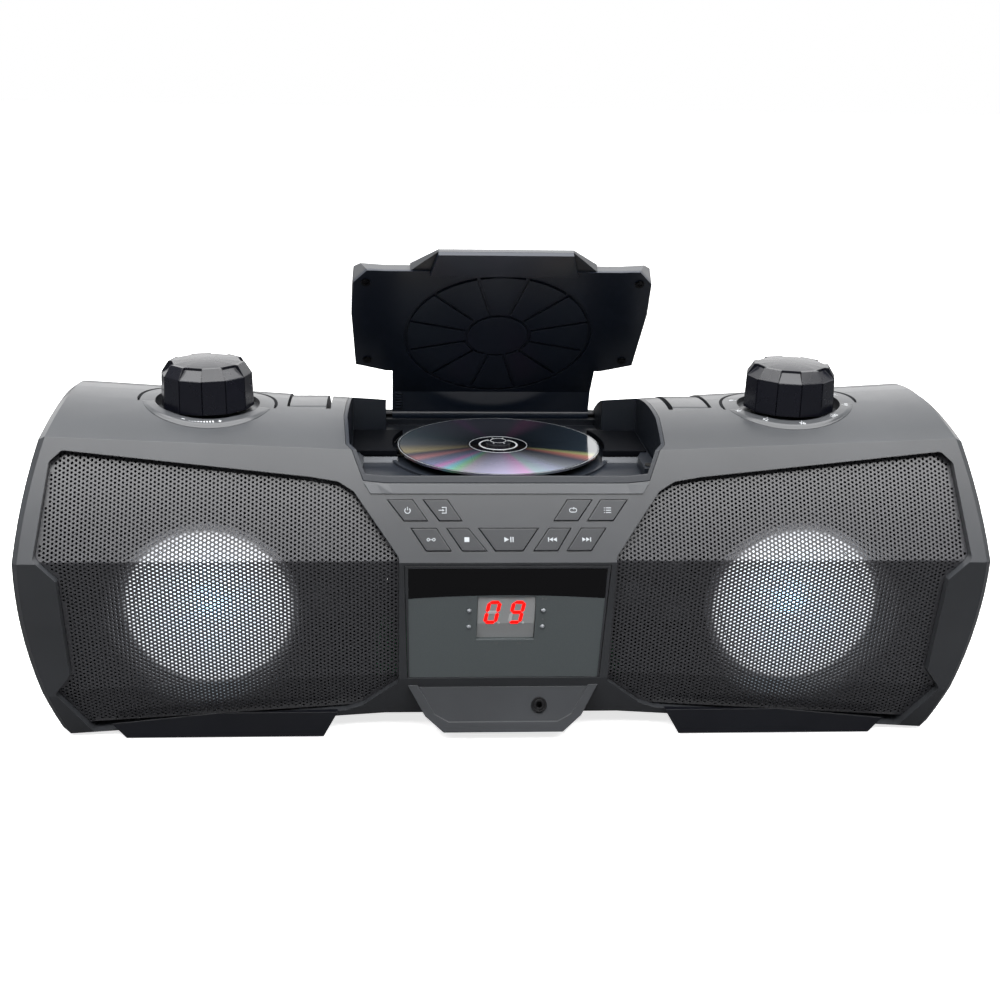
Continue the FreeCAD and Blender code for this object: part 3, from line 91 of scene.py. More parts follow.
def put_in_scene(name, data):
    thing = bpy.data.objects.new(name, data)
    bpy.context.scene.collection.objects.link(thing)
    return thing


def fill(tree, node, inputs):
    """Gives inputs of a shader node a value or another node's output."""
    for key, value in inputs.items():
        if isinstance(value, bpy.types.NodeSocket):
            tree.links.new(value, node.inputs[key])
        else:
            node.inputs[key].default_value = value


def add_node(tree, kind, inputs=None, **settings):
    node = tree.nodes.new(kind)
    for key, value in settings.items():
        setattr(node, key, value)
    fill(tree, node, inputs or {})
    return node


# ---- camera, light and floor

CAMERA_PLACE = (-0.0665, -0.821, 0.3905)
CAMERA_ANGLES = (3.2, 18.4, 1.0)  # yaw, pitch and roll in degrees
CAMERA_LENS = 52.2
CAMERA_SHIFT = 0.037
SOFT_BOX_HEIGHT = 1.5
SOFT_BOX_Y = -0.5
SOFT_BOX_SIZE = (2.8, 2.1)
SOFT_BOX_POWER = 105
SIDE_LIGHT_SIZE = (0.7, 0.7)
FRONT_LEVEL = 0.12  # how bright the room is in front of the object, and behind it
BACK_LEVEL = 1.35
FRONT_END = 0.25  # how far back the room stays dim, and where it is fully bright
BACK_START = 0.85
FLOOR_BOUNCE = (0.07, 0.07, 0.073)
FLOOR_GLOW = 0.75
FLOOR_HALF = 6.0


def make_camera():
    """The camera a little left of the middle, looking down at the open lid."""
    yaw, pitch, roll = (math.radians(angle) for angle in CAMERA_ANGLES)
    reach = math.cos(pitch)
    forward = Vector((math.sin(yaw) * reach, math.cos(yaw) * reach, -math.sin(pitch)))
    level = Vector((math.cos(yaw), -math.sin(yaw), 0))
    lift = level.cross(forward)
    right = level * math.cos(roll) + lift * math.sin(roll)
    up = lift * math.cos(roll) - level * math.sin(roll)
    turn = Matrix((right, up, -forward)).transposed().to_4x4()
    data = bpy.data.cameras.new("camera")
    data.lens = CAMERA_LENS
    data.sensor_width = 36.0
    data.shift_x = CAMERA_SHIFT
    data.clip_start = 0.01
    camera = put_in_scene("camera", data)
    camera.matrix_world = Matrix.Translation(CAMERA_PLACE) @ turn
    bpy.context.scene.camera = camera


def area_light(name, place, target, size, power):
    data = bpy.data.lights.new(name, "AREA")
    data.shape = "RECTANGLE"
    data.size, data.size_y = size
    data.energy = power
    lamp = put_in_scene(name, data)
    lamp.location = place
    lamp.rotation_euler = (Vector(target) - Vector(place)).to_track_quat("-Z", "Y").to_euler()


def make_world():
    """A soft white room: bright above and behind the object, dimmer in front and at the sides."""
    world = bpy.data.worlds.new("studio")
    world.use_nodes = True
    tree = world.node_tree
    place = add_node(tree, "ShaderNodeTexCoord").outputs["Generated"]
    split = add_node(tree, "ShaderNodeSeparateXYZ", {"Vector": place})
    behind = add_node(tree, "ShaderNodeMapRange", {
        "Value": split.outputs["Y"], "From Min": FRONT_END, "From Max": BACK_START,
        "To Min": FRONT_LEVEL, "To Max": BACK_LEVEL})
    seen = add_node(tree, "ShaderNodeLightPath").outputs["Is Camera Ray"]
    level = add_node(tree, "ShaderNodeMix", {"Factor": seen, "A": behind.outputs["Result"], "B": 1.0})
    fill(tree, tree.nodes["Background"], {
        "Color": (1.0, 1.0, 1.0, 1), "Strength": level.outputs["Result"]})
    bpy.context.scene.world = world


def make_studio():
    """One wide soft box over and in front of the object, with a weak one at each side."""
    under = (0.0, SOFT_BOX_Y, 0.0)
    area_light("soft_box", (0.0, SOFT_BOX_Y, SOFT_BOX_HEIGHT), under, SOFT_BOX_SIZE, SOFT_BOX_POWER)
    middle = (0, 0, 0.1)
    area_light("left_light", (-1.6, -1.2, 0.9), middle, SIDE_LIGHT_SIZE, 1.2)
    area_light("right_light", (1.6, -1.2, 0.9), middle, SIDE_LIGHT_SIZE, 1.0)
    make_world()
    bpy.context.scene.view_settings.view_transform = "Standard"


def make_floor():
    """A plain white floor that throws only a little light up at the object."""
    mesh = bpy.data.meshes.new("floor")
    corners = [(x * FLOOR_HALF, y * FLOOR_HALF, 0) for x, y in ((-1, -1), (1, -1), (1, 1), (-1, 1))]
    mesh.from_pydata(corners, [], [(0, 1, 2, 3)])
    s = Surface("floor").set(Roughness=0.9, Specular_IOR_Level=0.1, Emission_Color=(1.0, 1.0, 1.0, 1))
    seen = s.add("ShaderNodeLightPath").outputs["Is Camera Ray"]
    color = s.add("ShaderNodeMix", {
        "Factor": seen, "A": (*FLOOR_BOUNCE, 1), "B": (0.9, 0.9, 0.9, 1)}, data_type="RGBA")
    s.set(Base_Color=color.outputs["Result"], Emission_Strength=s.spread(seen, 0.0, 1.0, 0.0, FLOOR_GLOW))
    mesh.materials.append(s.material)
    put_in_scene("floor", mesh)


# ---- materials

# The cones' glow is painted light and shade: emission on the cone and surround.
CONE_GLOW = 2.3
CONE_REACH = 52 * MM  # the glow fades out at this radius
PLAIN_SHINE = 0.35
# How bright the disc is from its middle outwards, partly the disc's own zones and partly painted
# reflection: (share of the radius, level).
DISC_ZONES_AND_REFLECTION = [(0.0, 0.2), (0.17, 0.5), (0.20, 0.12), (0.30, 1.0), (0.97, 0.30)]
DISC_EDGE = 60 * MM
DISC_TRACKS = 9000.0  # radians of groove per metre of radius
DISC_SIDE = (0.080, 0.088, 0.098)
DISC_DIM = (0.055, 0.060, 0.078)
DISC_DARK = (0.018, 0.026, 0.036)
# Painted reflection: the rainbow hues that the disc reflects round its axis, bright in front and dim to
# dark at the right and the back, as (share of a turn, colour), from the left round the front.
DISC_REFLECTION_HUES = [
    (0.00, DISC_SIDE), (0.045, (0.22, 0.19, 0.12)), (0.06, DISC_DIM), (0.085, (0.26, 0.13, 0.14)),
    (0.10, (0.10, 0.11, 0.15)), (0.125, (0.13, 0.14, 0.22)), (0.14, (0.30, 0.14, 0.28)),
    (0.155, (0.12, 0.28, 0.34)), (0.17, (0.15, 0.30, 0.18)), (0.185, (0.24, 0.22, 0.26)),
    (0.21, (0.24, 0.24, 0.32)), (0.25, (0.32, 0.30, 0.42)), (0.285, (0.42, 0.26, 0.42)),
    (0.30, (0.26, 0.34, 0.36)), (0.33, (0.24, 0.26, 0.34)), (0.36, (0.14, 0.15, 0.17)),
    (0.40, DISC_DIM), (0.425, (0.30, 0.12, 0.10)), (0.44, (0.24, 0.26, 0.12)), (0.455, DISC_DARK),
    (0.64, DISC_DARK), (0.69, (0.10, 0.05, 0.09)), (0.71, DISC_DIM), (0.79, DISC_DIM),
    (0.81, (0.09, 0.06, 0.11)), (0.83, DISC_DIM), (0.94, (0.045, 0.060, 0.070)), (1.00, DISC_SIDE),
]


class Surface:
    """A Principled material whose colour, roughness and relief come from noise over the object."""

    def __init__(self, name):
        self.material = bpy.data.materials.new(name)
        self.material.use_nodes = True
        self.tree = self.material.node_tree
        self.shader = self.tree.nodes["Principled BSDF"]
        self.place = self.add("ShaderNodeTexCoord").outputs["Object"]
        self.normal = None
        self.set(Specular_IOR_Level=PLAIN_SHINE)

    def add(self, kind, inputs=None, **settings):
        return add_node(self.tree, kind, inputs, **settings)

    def set(self, **values):
        """Fills the shader's own inputs, with underscores for the spaces in their names."""
        fill(self.tree, self.shader, {key.replace("_", " "): value for key, value in values.items()})
        return self

    def noise(self, scale, detail=3.0, stretch=None):
        """Noise over the object, with its scale in features per metre."""
        place = self.place
        if stretch:
            place = self.add("ShaderNodeMapping", {"Vector": place, "Scale": stretch}).outputs["Vector"]
        noise = self.add("ShaderNodeTexNoise", {
            "Vector": place, "Scale": scale, "Detail": detail, "Roughness": 0.55})
        return noise.outputs["Fac"]

    def ramp(self, source, stops, blend="LINEAR"):
        ramp = self.add("ShaderNodeValToRGB", {"Fac": source})
        ramp.color_ramp.interpolation = blend
        elements = ramp.color_ramp.elements
        while len(elements) < len(stops):
            elements.new(0.5)
        for element, (position, color) in zip(elements, stops):
            element.position = position
            element.color = (*color, 1)
        return ramp.outputs["Color"]

    def spread(self, source, low, high, to_low, to_high):
        """Maps one range of values to another."""
        spread = self.add("ShaderNodeMapRange", {
            "Value": source, "From Min": low, "From Max": high, "To Min": to_low, "To Max": to_high})
        return spread.outputs["Result"]

    def vector(self, operation, source, value=(0, 0, 0)):
        """The outputs of one step of vector arithmetic."""
        return self.add("ShaderNodeVectorMath", {0: source, 1: value}, operation=operation).outputs

    def tint(self, source, dark, light):
        return self.set(Base_Color=self.ramp(source, [(0.35, dark), (0.65, light)]))

    def gloss(self, source, low, high):
        return self.set(Roughness=self.spread(source, 0.3, 0.7, low, high))

    def relief(self, source, depth, strength=1.0):
        inputs = {"Distance": depth, "Strength": strength, "Height": source}
        if self.normal:
            inputs["Normal"] = self.normal
        self.normal = self.add("ShaderNodeBump", inputs).outputs["Normal"]
        return self.set(Normal=self.normal)

    def soften_edges(self, radius):
        """Rounds the shading of sharp edges."""
        self.normal = self.add("ShaderNodeBevel", {"Radius": radius}, samples=4).outputs["Normal"]
        return self


def shade(color, factor):
    return tuple(channel * factor for channel in color)


def moulded(name, color, roughness, grain=2600.0, depth=0.00006, spread=0.12, coat=0.0, edge=0.5):
    """Moulded plastic: spark-eroded grain, faint flow marks and a little handling sheen."""
    s = Surface(name).soften_edges(edge * MM)
    cloud = s.noise(9.0, 4.0)
    s.tint(cloud, shade(color, 1 - spread), shade(color, 1 + spread))
    s.gloss(s.noise(60.0, 4.0), roughness - 0.02, roughness + 0.03)
    s.relief(s.noise(grain, 2.0), depth, 0.5)
    s.relief(s.noise(14.0, 2.0, (1, 1, 0.4)), 0.0003, 0.03)
    s.set(Coat_Weight=coat, Coat_Roughness=0.16)
    return s.material


def plain_sheet(name, color, roughness, shine=PLAIN_SHINE):
    """Smooth moulded sheet with only a fine haze."""
    s = Surface(name).soften_edges(0.3 * MM)
    s.set(Specular_IOR_Level=shine)
    haze = s.noise(1800.0, 2.0)
    s.tint(haze, shade(color, 0.96), shade(color, 1.04))
    s.gloss(haze, roughness, roughness + 0.03)
    s.relief(haze, 0.00001, 0.2)
    return s.material


def metal(name, color, roughness, stretch=(1, 1, 1), scale=900.0, depth=0.00003):
    s = Surface(name)
    streak = s.noise(scale, 3.0, stretch)
    s.tint(streak, shade(color, 0.8), shade(color, 1.1))
    s.gloss(s.noise(scale * 0.3, 3.0, stretch), roughness - 0.06, roughness + 0.08)
    s.relief(streak, depth, 0.4)
    s.set(Metallic=1.0)
    return s.material


def polar_about(s, middle):
    """The angle (0 to 1, 0.25 in front) and the radius about a vertical axis."""
    offset = s.vector("SUBTRACT", s.place, middle)["Vector"]
    split = s.add("ShaderNodeSeparateXYZ", {"Vector": offset}).outputs
    angle = s.add("ShaderNodeMath", {0: split["Y"], 1: split["X"]}, operation="ARCTAN2")
    turns = s.spread(angle.outputs["Value"], -math.pi, math.pi, 0.0, 1.0)
    return turns, s.vector("LENGTH", offset)["Value"]


def disc_mirror():
    """The played side: painted reflection, streaks of rainbow hue that fan out from the hub over a dark
    mirror, painted brighter towards the rim.
    """
    s = Surface("disc_mirror")
    turns, radius = polar_about(s, middle_of("compact_disc"))
    streaks = s.ramp(turns, DISC_REFLECTION_HUES)
    # Painted reflection: the streaks are painted brighter towards the rim.
    level = s.spread(radius, 16 * MM, 58 * MM, 0.25, 1.25)
    rings = [(share, (bright, bright, bright)) for share, bright in DISC_ZONES_AND_REFLECTION]
    zones = s.ramp(s.spread(radius, 0.0, DISC_EDGE, 0.0, 1.0), rings, "CONSTANT")
    bright = s.add("ShaderNodeVectorMath", {0: streaks, "Scale": level}, operation="SCALE")
    mixed = s.add("ShaderNodeMix", {"Factor": 1.0, "A": bright.outputs["Vector"], "B": zones},
                  data_type="RGBA", blend_type="MULTIPLY")
    s.set(Base_Color=mixed.outputs["Result"])
    scaled = s.add("ShaderNodeMath", {0: radius, 1: DISC_TRACKS}, operation="MULTIPLY")
    tracks = s.add("ShaderNodeMath", {0: scaled.outputs["Value"]}, operation="SINE")
    s.relief(tracks.outputs["Value"], 0.00001, 0.08)
    s.gloss(s.noise(45.0), 0.06, 0.12)
    s.set(Specular_IOR_Level=1.0, Coat_Weight=1.0, Coat_Roughness=0.04)
    return s.material


def lit_cone():
    """Pale cone and surround with painted light: emission as if lit from inside the cabinet, brightest at
    the dust cap and fading to painted shade at the rim.
    """
    s = Surface("lit_cone")
    middle = middle_of("speaker_cone_right")
    fold = s.vector("ABSOLUTE", s.place)["Vector"]
    flat = s.vector("MULTIPLY", fold, (1, 0, 1))["Vector"]
    radius = s.vector("DISTANCE", flat, (middle.x, 0, middle.z))["Value"]
    near = s.spread(radius, 0.0, CONE_REACH, 0.0, 1.0)
    stops = [(0.0, (1.30, 1.90, 2.30)), (0.10, (1.00, 1.50, 1.90)), (0.24, (0.70, 0.80, 0.90)),
             (0.70, (0.54, 0.57, 0.61)), (0.875, (0.42, 0.43, 0.45)), (0.905, (0.03, 0.03, 0.033)),
             (1.0, (0.01, 0.01, 0.012))]
    s.set(Emission_Color=s.ramp(near, stops))
    s.tint(s.noise(500.0, 3.0), (0.30, 0.32, 0.34), (0.40, 0.42, 0.45))
    s.relief(s.noise(700.0, 3.0), 0.0002, 0.4)
    s.set(Emission_Strength=CONE_GLOW, Roughness=0.6)
    return s.material


def grille_paint():
    """Satin paint on perforated steel: bright at a slant, with a slight orange peel."""
    s = Surface("grille_paint")
    peel = s.noise(900.0, 3.0)
    s.tint(peel, (0.044, 0.044, 0.048), (0.060, 0.060, 0.066))
    s.gloss(s.noise(120.0), 0.24, 0.30)
    s.relief(peel, 0.00002, 0.4)
    s.set(Specular_IOR_Level=0.55, Coat_Weight=0.5, Coat_Roughness=0.16)
    return s.material


def glowing(name, color, strength):
    s = Surface(name)
    s.tint(s.noise(300.0), shade(color, 0.85), color)
    s.set(Emission_Color=(*color, 1), Emission_Strength=strength, Roughness=0.3)
    return s.material


def dust_cloth():
    """Black open-weave cloth."""
    s = Surface("dust_cloth")
    weave = s.add("ShaderNodeTexChecker", {"Vector": s.place, "Scale": 1400.0})
    s.tint(s.noise(40.0), (0.006, 0.006, 0.006), (0.012, 0.012, 0.012))
    s.relief(weave.outputs["Fac"], 0.0002, 0.6)
    s.set(Roughness=0.9, Sheen_Weight=0.2)
    return s.material


def board_green():
    s = Surface("circuit_board")
    s.tint(s.noise(220.0, 2.0, (1, 6, 1)), (0.01, 0.10, 0.035), (0.02, 0.2, 0.07))
    s.gloss(s.noise(80.0), 0.3, 0.45)
    s.relief(s.noise(500.0, 2.0, (6, 1, 1)), 0.0001, 0.3)
    return s.material


def make_materials():
    case_gray = (0.043, 0.0455, 0.050)
    lit = lit_cone()
    return {
        "case": moulded("case_plastic", case_gray, 0.36, coat=0.45),
        "key": moulded("key_plastic", (0.028, 0.030, 0.034), 0.36, coat=0.35),
        "grille": grille_paint(),
        "foot": moulded("foot_plastic", (0.003, 0.0035, 0.006), 0.42),
        "pad": moulded("rubber", (0.012, 0.012, 0.012), 0.75, grain=900.0, depth=0.0001),
        "screw": metal("zinc_screw", (0.32, 0.33, 0.35), 0.32),
        "magnet": metal("magnet_steel", (0.20, 0.20, 0.21), 0.45),
        "basket": moulded("basket_paint", (0.02, 0.02, 0.022), 0.4),
        "surround": lit,
        "lamp_ring": moulded("lamp_ring", (0.02, 0.02, 0.022), 0.4),
        "cone": lit,
        "display_panel": plain_sheet("display_window", (0.112, 0.128, 0.132), 0.28),
        "digit_module": plain_sheet("module_gray", (0.37, 0.38, 0.385), 0.4),
        "circuit_board": board_green(),
        "indicator": moulded("clear_lamp", (0.30, 0.32, 0.34), 0.25, coat=0.5),
        "jack": moulded("jack_black", (0.01, 0.01, 0.011), 0.25, coat=0.3),
        "knob": moulded("knob_black", (0.0045, 0.005, 0.009), 0.27, coat=0.35, spread=0.05, edge=0.35),
        "control": metal("plated_control", (0.42, 0.42, 0.40), 0.3),
        "deck": moulded("deck_plastic", (0.014, 0.017, 0.023), 0.34, coat=0.1),
        "mechanism": moulded("mechanism_plastic", (0.035, 0.036, 0.04), 0.4),
        "rail": metal("ground_steel", (0.55, 0.55, 0.56), 0.18, (0.05, 1, 1)),
        "motor": metal("motor_can", (0.48, 0.48, 0.46), 0.3),
        "turntable": moulded("turntable_plastic", (0.012, 0.013, 0.016), 0.2, coat=0.5),
        "disc": disc_mirror(),
        "lid_inner": moulded("lid_black", (0.009, 0.014, 0.026), 0.34, coat=0.25, spread=0.08),
        "mast": metal("chrome_mast", (0.72, 0.72, 0.74), 0.08, (0.05, 1, 1)),
        "inlet": moulded("inlet_black", (0.012, 0.012, 0.012), 0.35),
        "transformer": metal("laminations", (0.14, 0.12, 0.10), 0.5, (1, 12, 1), 200.0, 0.0002),
        "ferrite": moulded("ferrite_rod", (0.05, 0.045, 0.042), 0.5),
        "mark": moulded("printed_mark", (0.70, 0.72, 0.74), 0.55, grain=900.0, depth=0.00002),
        "gloss_black": plain_sheet("gloss_black", (0.002, 0.002, 0.0025), 0.08),
        "digit_lit": glowing("digit_lit", (1.0, 0.004, 0.002), 1.3),
        "digit_off": moulded("digit_off", (0.62, 0.63, 0.64), 0.5),
        "dark_screw": metal("black_screw", (0.03, 0.03, 0.032), 0.35),
        "ledge": plain_sheet("ledge_black", (0.002, 0.0025, 0.004), 0.6, 0.08),
        # The shelf risers are painted far lighter than the deck plastic: a painted highlight.
        "riser": moulded("riser_plastic_painted_highlight", (0.090, 0.096, 0.106), 0.5),
        # The tray lip is the case plastic painted 1.5 times lighter: a painted highlight.
        "lip": moulded("lip_plastic_painted_highlight", shade(case_gray, 1.5), 0.36, coat=0.45),
        "cloth": dust_cloth(),
        "icon": moulded("key_print", (0.52, 0.55, 0.58), 0.55, grain=900.0, depth=0.00002),
        "faint_mark": moulded("faint_print", (0.15, 0.155, 0.16), 0.55, grain=900.0, depth=0.00002),
        "clear_ring": moulded("clear_rim", (0.42, 0.45, 0.48), 0.15, coat=0.8),
        "white_ring": moulded("hub_white", (0.72, 0.75, 0.77), 0.3),
    }


MATERIALS = make_materials()


def dress_cad_nodes():
    for name, node in NODES.items():
        node.data.materials.clear()
        node.data.materials.append(MATERIALS[SLOT_OF_NODE[name]])
    NODES["handle_pins"].data.materials[0] = MATERIALS["dark_screw"]


# ---- building helpers


FACING = 0.95  # a face looks a certain way when its normal is this near to it
FACE_GROUPING = 0.2 * MM


def link_piece(name, mesh, body, slot, material=None, smooth=False):
    """Puts a finished mesh in the scene, in the material of its slot or in another one."""
    piece = put_in_scene(name, mesh)
    mesh.materials.clear()
    mesh.materials.append(MATERIALS[material or slot])
    for polygon in mesh.polygons:
        polygon.use_smooth = smooth
    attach(piece, body)
    return piece


def mesh_of(name, points, faces):
    mesh = bpy.data.meshes.new(name)
    mesh.from_pydata([tuple(p) for p in points], [], faces)
    mesh.validate()
    mesh.update()
    return mesh


def weld(mesh, distance, outward=True):
    """Joins corners that lie together, and turns the faces of a closed shape outward."""
    bm = bmesh.new()
    bm.from_mesh(mesh)
    bmesh.ops.remove_doubles(bm, verts=bm.verts, dist=distance)
    if outward:
        bmesh.ops.recalc_face_normals(bm, faces=bm.faces)
    bm.to_mesh(mesh)
    bm.free()
    return mesh


def thicken(piece, thickness):
    """Gives an open sheet a thickness behind its faces."""
    solid = piece.modifiers.new("thickness", "SOLIDIFY")
    solid.thickness = thickness
    solid.offset = -1.0
    solid.use_even_offset = True


def make_sheet(name, points, faces, thickness, slot, material=None, smooth=False):
    """A thin sheet on the cabinet, with its thickness behind its faces."""
    piece = link_piece(name, mesh_of(name, points, faces), "cabinet", slot, material, smooth)
    thicken(piece, thickness)
    return piece


def soften(piece, width):
    """Rounds the edges that turn by more than 25 degrees."""
    bevel = piece.modifiers.new("edges", "BEVEL")
    bevel.width = width
    bevel.segments = 2
    bevel.limit_method = "ANGLE"
    bevel.angle_limit = math.radians(25)


def softened_copy(node, width):
    """A copy of a CAD node with rounded edges, which stands for it."""
    bm = bmesh.new()
    bm.from_mesh(NODES[node].data)
    bmesh.ops.remove_doubles(bm, verts=bm.verts, dist=0.01 * MM)
    bmesh.ops.dissolve_limit(bm, angle_limit=math.radians(2), verts=bm.verts, edges=bm.edges)
    mesh = bpy.data.meshes.new(node + "_soft")
    bm.to_mesh(mesh)
    bm.free()
    piece = link_piece(node + "_soft", mesh, node, SLOT_OF_NODE[node])
    soften(piece, width)
    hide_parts(node)


def surface_of(*names):
    """CAD nodes as one tree for ray casts."""
    points, triangles = [], []
    for name in names:
        mesh = NODES[name].data
        triangles += [tuple(index + len(points) for index in p.vertices) for p in mesh.polygons]
        points += [vertex.co for vertex in mesh.vertices]
    return BVHTree.FromPolygons(points, triangles)


CASE = surface_of("front_shell", "rear_shell")
REAR_WALL = surface_of("rear_shell")
INSIDE_Y = 0.045  # well inside the rear wall


def inside_wall(x, z):
    """The inner face of the rear wall at x, z."""
    return REAR_WALL.ray_cast(Vector((x, INSIDE_Y, z)), BACKWARD)[0]


class Face:
    """The largest flat face of a CAD node that looks a given way, with its middle and directions."""

    def __init__(self, node, toward):
        mesh = NODES[node].data
        toward = Vector(toward).normalized()
        groups = {}
        for polygon in mesh.polygons:
            if polygon.normal.dot(toward) > FACING:
                depth = round(polygon.normal.dot(polygon.center) / FACE_GROUPING)
                key = (*(round(c, 2) for c in polygon.normal), depth)
                groups.setdefault(key, []).append(polygon)
        face = max(groups.values(), key=lambda group: sum(polygon.area for polygon in group))
        self.out = sum((polygon.normal * polygon.area for polygon in face), Vector()).normalized()
        self.right = (Vector((1, 0, 0)) - self.out * self.out.x).normalized()
        self.up = self.out.cross(self.right)
        corners = [mesh.vertices[index].co for polygon in face for index in polygon.vertices]
        across = [corner.dot(self.right) for corner in corners]
        along = [corner.dot(self.up) for corner in corners]
        self.half_width = (max(across) - min(across)) / 2 / MM
        self.half_height = (max(along) - min(along)) / 2 / MM
        self.middle = (self.right * (max(across) + min(across)) / 2
                       + self.up * (max(along) + min(along)) / 2
                       + self.out * face[0].center.dot(self.out))

    def place(self, x, y, out=0.0):
        """A point given in millimetres from the middle of the face."""
        return self.middle + (self.right * x + self.up * y + self.out * out) * MM


SINK = 0.04  # how far a drawn piece reaches under the face it lies on


class Drawing:
    """Flat shapes in millimetres, turned into a thin raised piece on a face or a curved top."""

    def __init__(self):
        self.faces = []

    def polygon(self, *points):
        area = sum(a[0] * b[1] - b[0] * a[1] for a, b in zip(points, points[1:] + points[:1]))
        self.faces.append(list(points) if area > 0 else list(reversed(points)))
        return self

    def bar(self, x0, y0, x1, y1):
        return self.polygon((x0, y0), (x1, y0), (x1, y1), (x0, y1))

    def stroke(self, start, end, width):
        start, end = Vector(start), Vector(end)
        way = (end - start).normalized() * (width / 2)
        side = Vector((-way.y, way.x))
        return self.polygon(start + side, start - side, end - side, end + side)

    def ring(self, x, y, inner, outer, start=0, end=360, steps=24):
        angles = [math.radians(start + (end - start) * step / steps) for step in range(steps + 1)]
        for a, b in zip(angles, angles[1:]):
            self.polygon(*[polar(radius, angle, x, y) for radius, angle in
                           ((inner, a), (outer, a), (outer, b), (inner, b))])
        return self

    def dot(self, x, y, radius, steps=16):
        return self.polygon(*[polar(radius, math.tau * step / steps, x, y) for step in range(steps)])

    def triangle(self, x, y, width, height):
        """Points right for a positive width and left for a negative one."""
        foot = x - width / 2
        return self.polygon((foot, y - height / 2), (x + width / 2, y), (foot, y + height / 2))

    def moved(self, dx, dy, scale=1.0):
        """A scaled and shifted copy."""
        copy = Drawing()
        copy.faces = [[(x * scale + dx, y * scale + dy) for x, y in face] for face in self.faces]
        return copy

    def add(self, other):
        self.faces += other.faces

    def piece(self, name, place, body, slot, height=0.06, material=None):
        """place(x, y, out) puts a flat point in the scene."""
        points = []
        faces = []
        for face in self.faces:
            faces.append(list(range(len(points), len(points) + len(face))))
            points += [place(x, y, height) for x, y in face]
        mesh = weld(mesh_of(name, points, faces), 0.002 * MM, outward=False)
        thicken(link_piece(name, mesh, body, slot, material), (height + SINK) * MM)


# ---- perforated grilles

RAY_START = 0.05  # rays start this far in front of a grille
HOLE_PITCH = 2.43 * MM
HOLE_RADIUS = 0.80 * MM
SHEET_THICKNESS = 0.9 * MM


class GrilleSheet:
    """The front of a grille panel, addressed by X and by the distance down the bent sheet."""

    def __init__(self, node):
        mesh = NODES[node].data
        self.surface = surface_of(node)
        self.outline = BVHTree.FromPolygons([(v.co.x, 0, v.co.z) for v in mesh.vertices],
                                            [tuple(p.vertices) for p in mesh.polygons])
        self.low, self.high = box_of(node)
        self.profile = self.make_profile()

    def ray(self, x, z):
        return self.surface.ray_cast(Vector((x, self.low.y - RAY_START, z)), BACKWARD)[0]

    def front(self, x, z):
        """The sheet's front at x, z, or at the nearest spot towards its middle."""
        middle = (self.low + self.high) / 2
        step = Vector((middle.x - x, 0, middle.z - z)).normalized() * 0.1 * MM
        spot = Vector((x, 0, z))
        for _ in range(30):
            hit = self.ray(spot.x, spot.z)
            if hit:
                return Vector((x, hit.y, z))
            spot += step
        raise ValueError("the grille has no front here")

    def make_profile(self):
        """(distance, z) pairs down the middle of the sheet."""
        middle = (self.low.x + self.high.x) / 2
        step = 1.0 * MM
        profile = [(0.0, self.high.z)]
        last = None
        z = self.high.z
        while z > self.low.z:
            z -= step
            here = self.ray(middle, z)
            fall = (here.y - last.y) if here and last else 0.0
            profile.append((profile[-1][0] + math.hypot(step, fall), z))
            last = here
        return profile

    def height(self, distance):
        for (d0, z0), (d1, z1) in zip(self.profile, self.profile[1:]):
            if distance <= d1:
                return z0 + (z1 - z0) * (distance - d0) / (d1 - d0)
        return self.profile[-1][1]

    def inside(self, x, z):
        return self.outline.find_nearest(Vector((x, 0, z)))[3] < 0.001 * MM

    def clamped(self, x, z):
        spot = self.outline.find_nearest(Vector((x, 0, z)))[0]
        return spot.x, spot.z


def perforated(sheet):
    """The corners and faces of a close lattice of hexagons, with a hole in each that fits whole."""
    radius = HOLE_PITCH / math.sqrt(3)
    column_step = 1.5 * radius
    columns = int((sheet.high.x - sheet.low.x) / column_step) + 2
    rows = int(sheet.profile[-1][0] / HOLE_PITCH) + 2
    points, faces, corner_index = [], [], {}

    def add_point(x, z):
        points.append(sheet.front(x, z))
        return len(points) - 1

    def lattice_corner(x, distance):
        key = (round(x / (radius / 2)), round(distance / (HOLE_PITCH / 2)))
        if key not in corner_index:
            z = sheet.height(distance)
            fits = sheet.inside(x, z)
            corner_index[key] = (add_point(*((x, z) if fits else sheet.clamped(x, z))), fits)
        return corner_index[key]

    turns = [polar(1.0, math.radians(60 * k)) for k in range(6)]
    for column in range(-1, columns):
        for row in range(-1, rows):
            x = sheet.low.x + column * column_step
            distance = (row + 0.5 * (column % 2)) * HOLE_PITCH
            corners = [lattice_corner(x + radius * c, distance - radius * s) for c, s in turns]
            rim = [index for index, fits in corners]
            if all(fits for index, fits in corners):
                hole = [add_point(x + HOLE_RADIUS * c, sheet.height(distance - HOLE_RADIUS * s))
                        for c, s in turns]
                faces += [(rim[k], rim[k - 5], hole[k - 5], hole[k]) for k in range(6)]
            elif any(fits for index, fits in corners):
                faces.append(tuple(rim))
    return points, faces


def make_grille(node):
    """A sheet of hexagonal holes, with a plain edge that follows the opening."""
    mesh = mesh_of(node + "_mesh", *perforated(GrilleSheet(node)))
    bm = bmesh.new()
    bm.from_mesh(mesh)
    bmesh.ops.remove_doubles(bm, verts=bm.verts, dist=0.02 * MM)
    bmesh.ops.dissolve_degenerate(bm, edges=bm.edges, dist=0.01 * MM)
    bmesh.ops.delete(bm, geom=[v for v in bm.verts if not v.link_faces], context="VERTS")
    for face in bm.faces:
        face.normal_update()
        if face.normal.y > 0:
            face.normal_flip()
    bm.to_mesh(mesh)
    bm.free()
    piece = link_piece(node + "_mesh", mesh, "cabinet", "grille")
    thicken(piece, SHEET_THICKNESS)
    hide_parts(node)


# ---- keys

KEY_ROUNDING = 0.3 * MM
FACET_WAY = (0, -0.86, 0.5)  # roughly where the control facet and its keys look


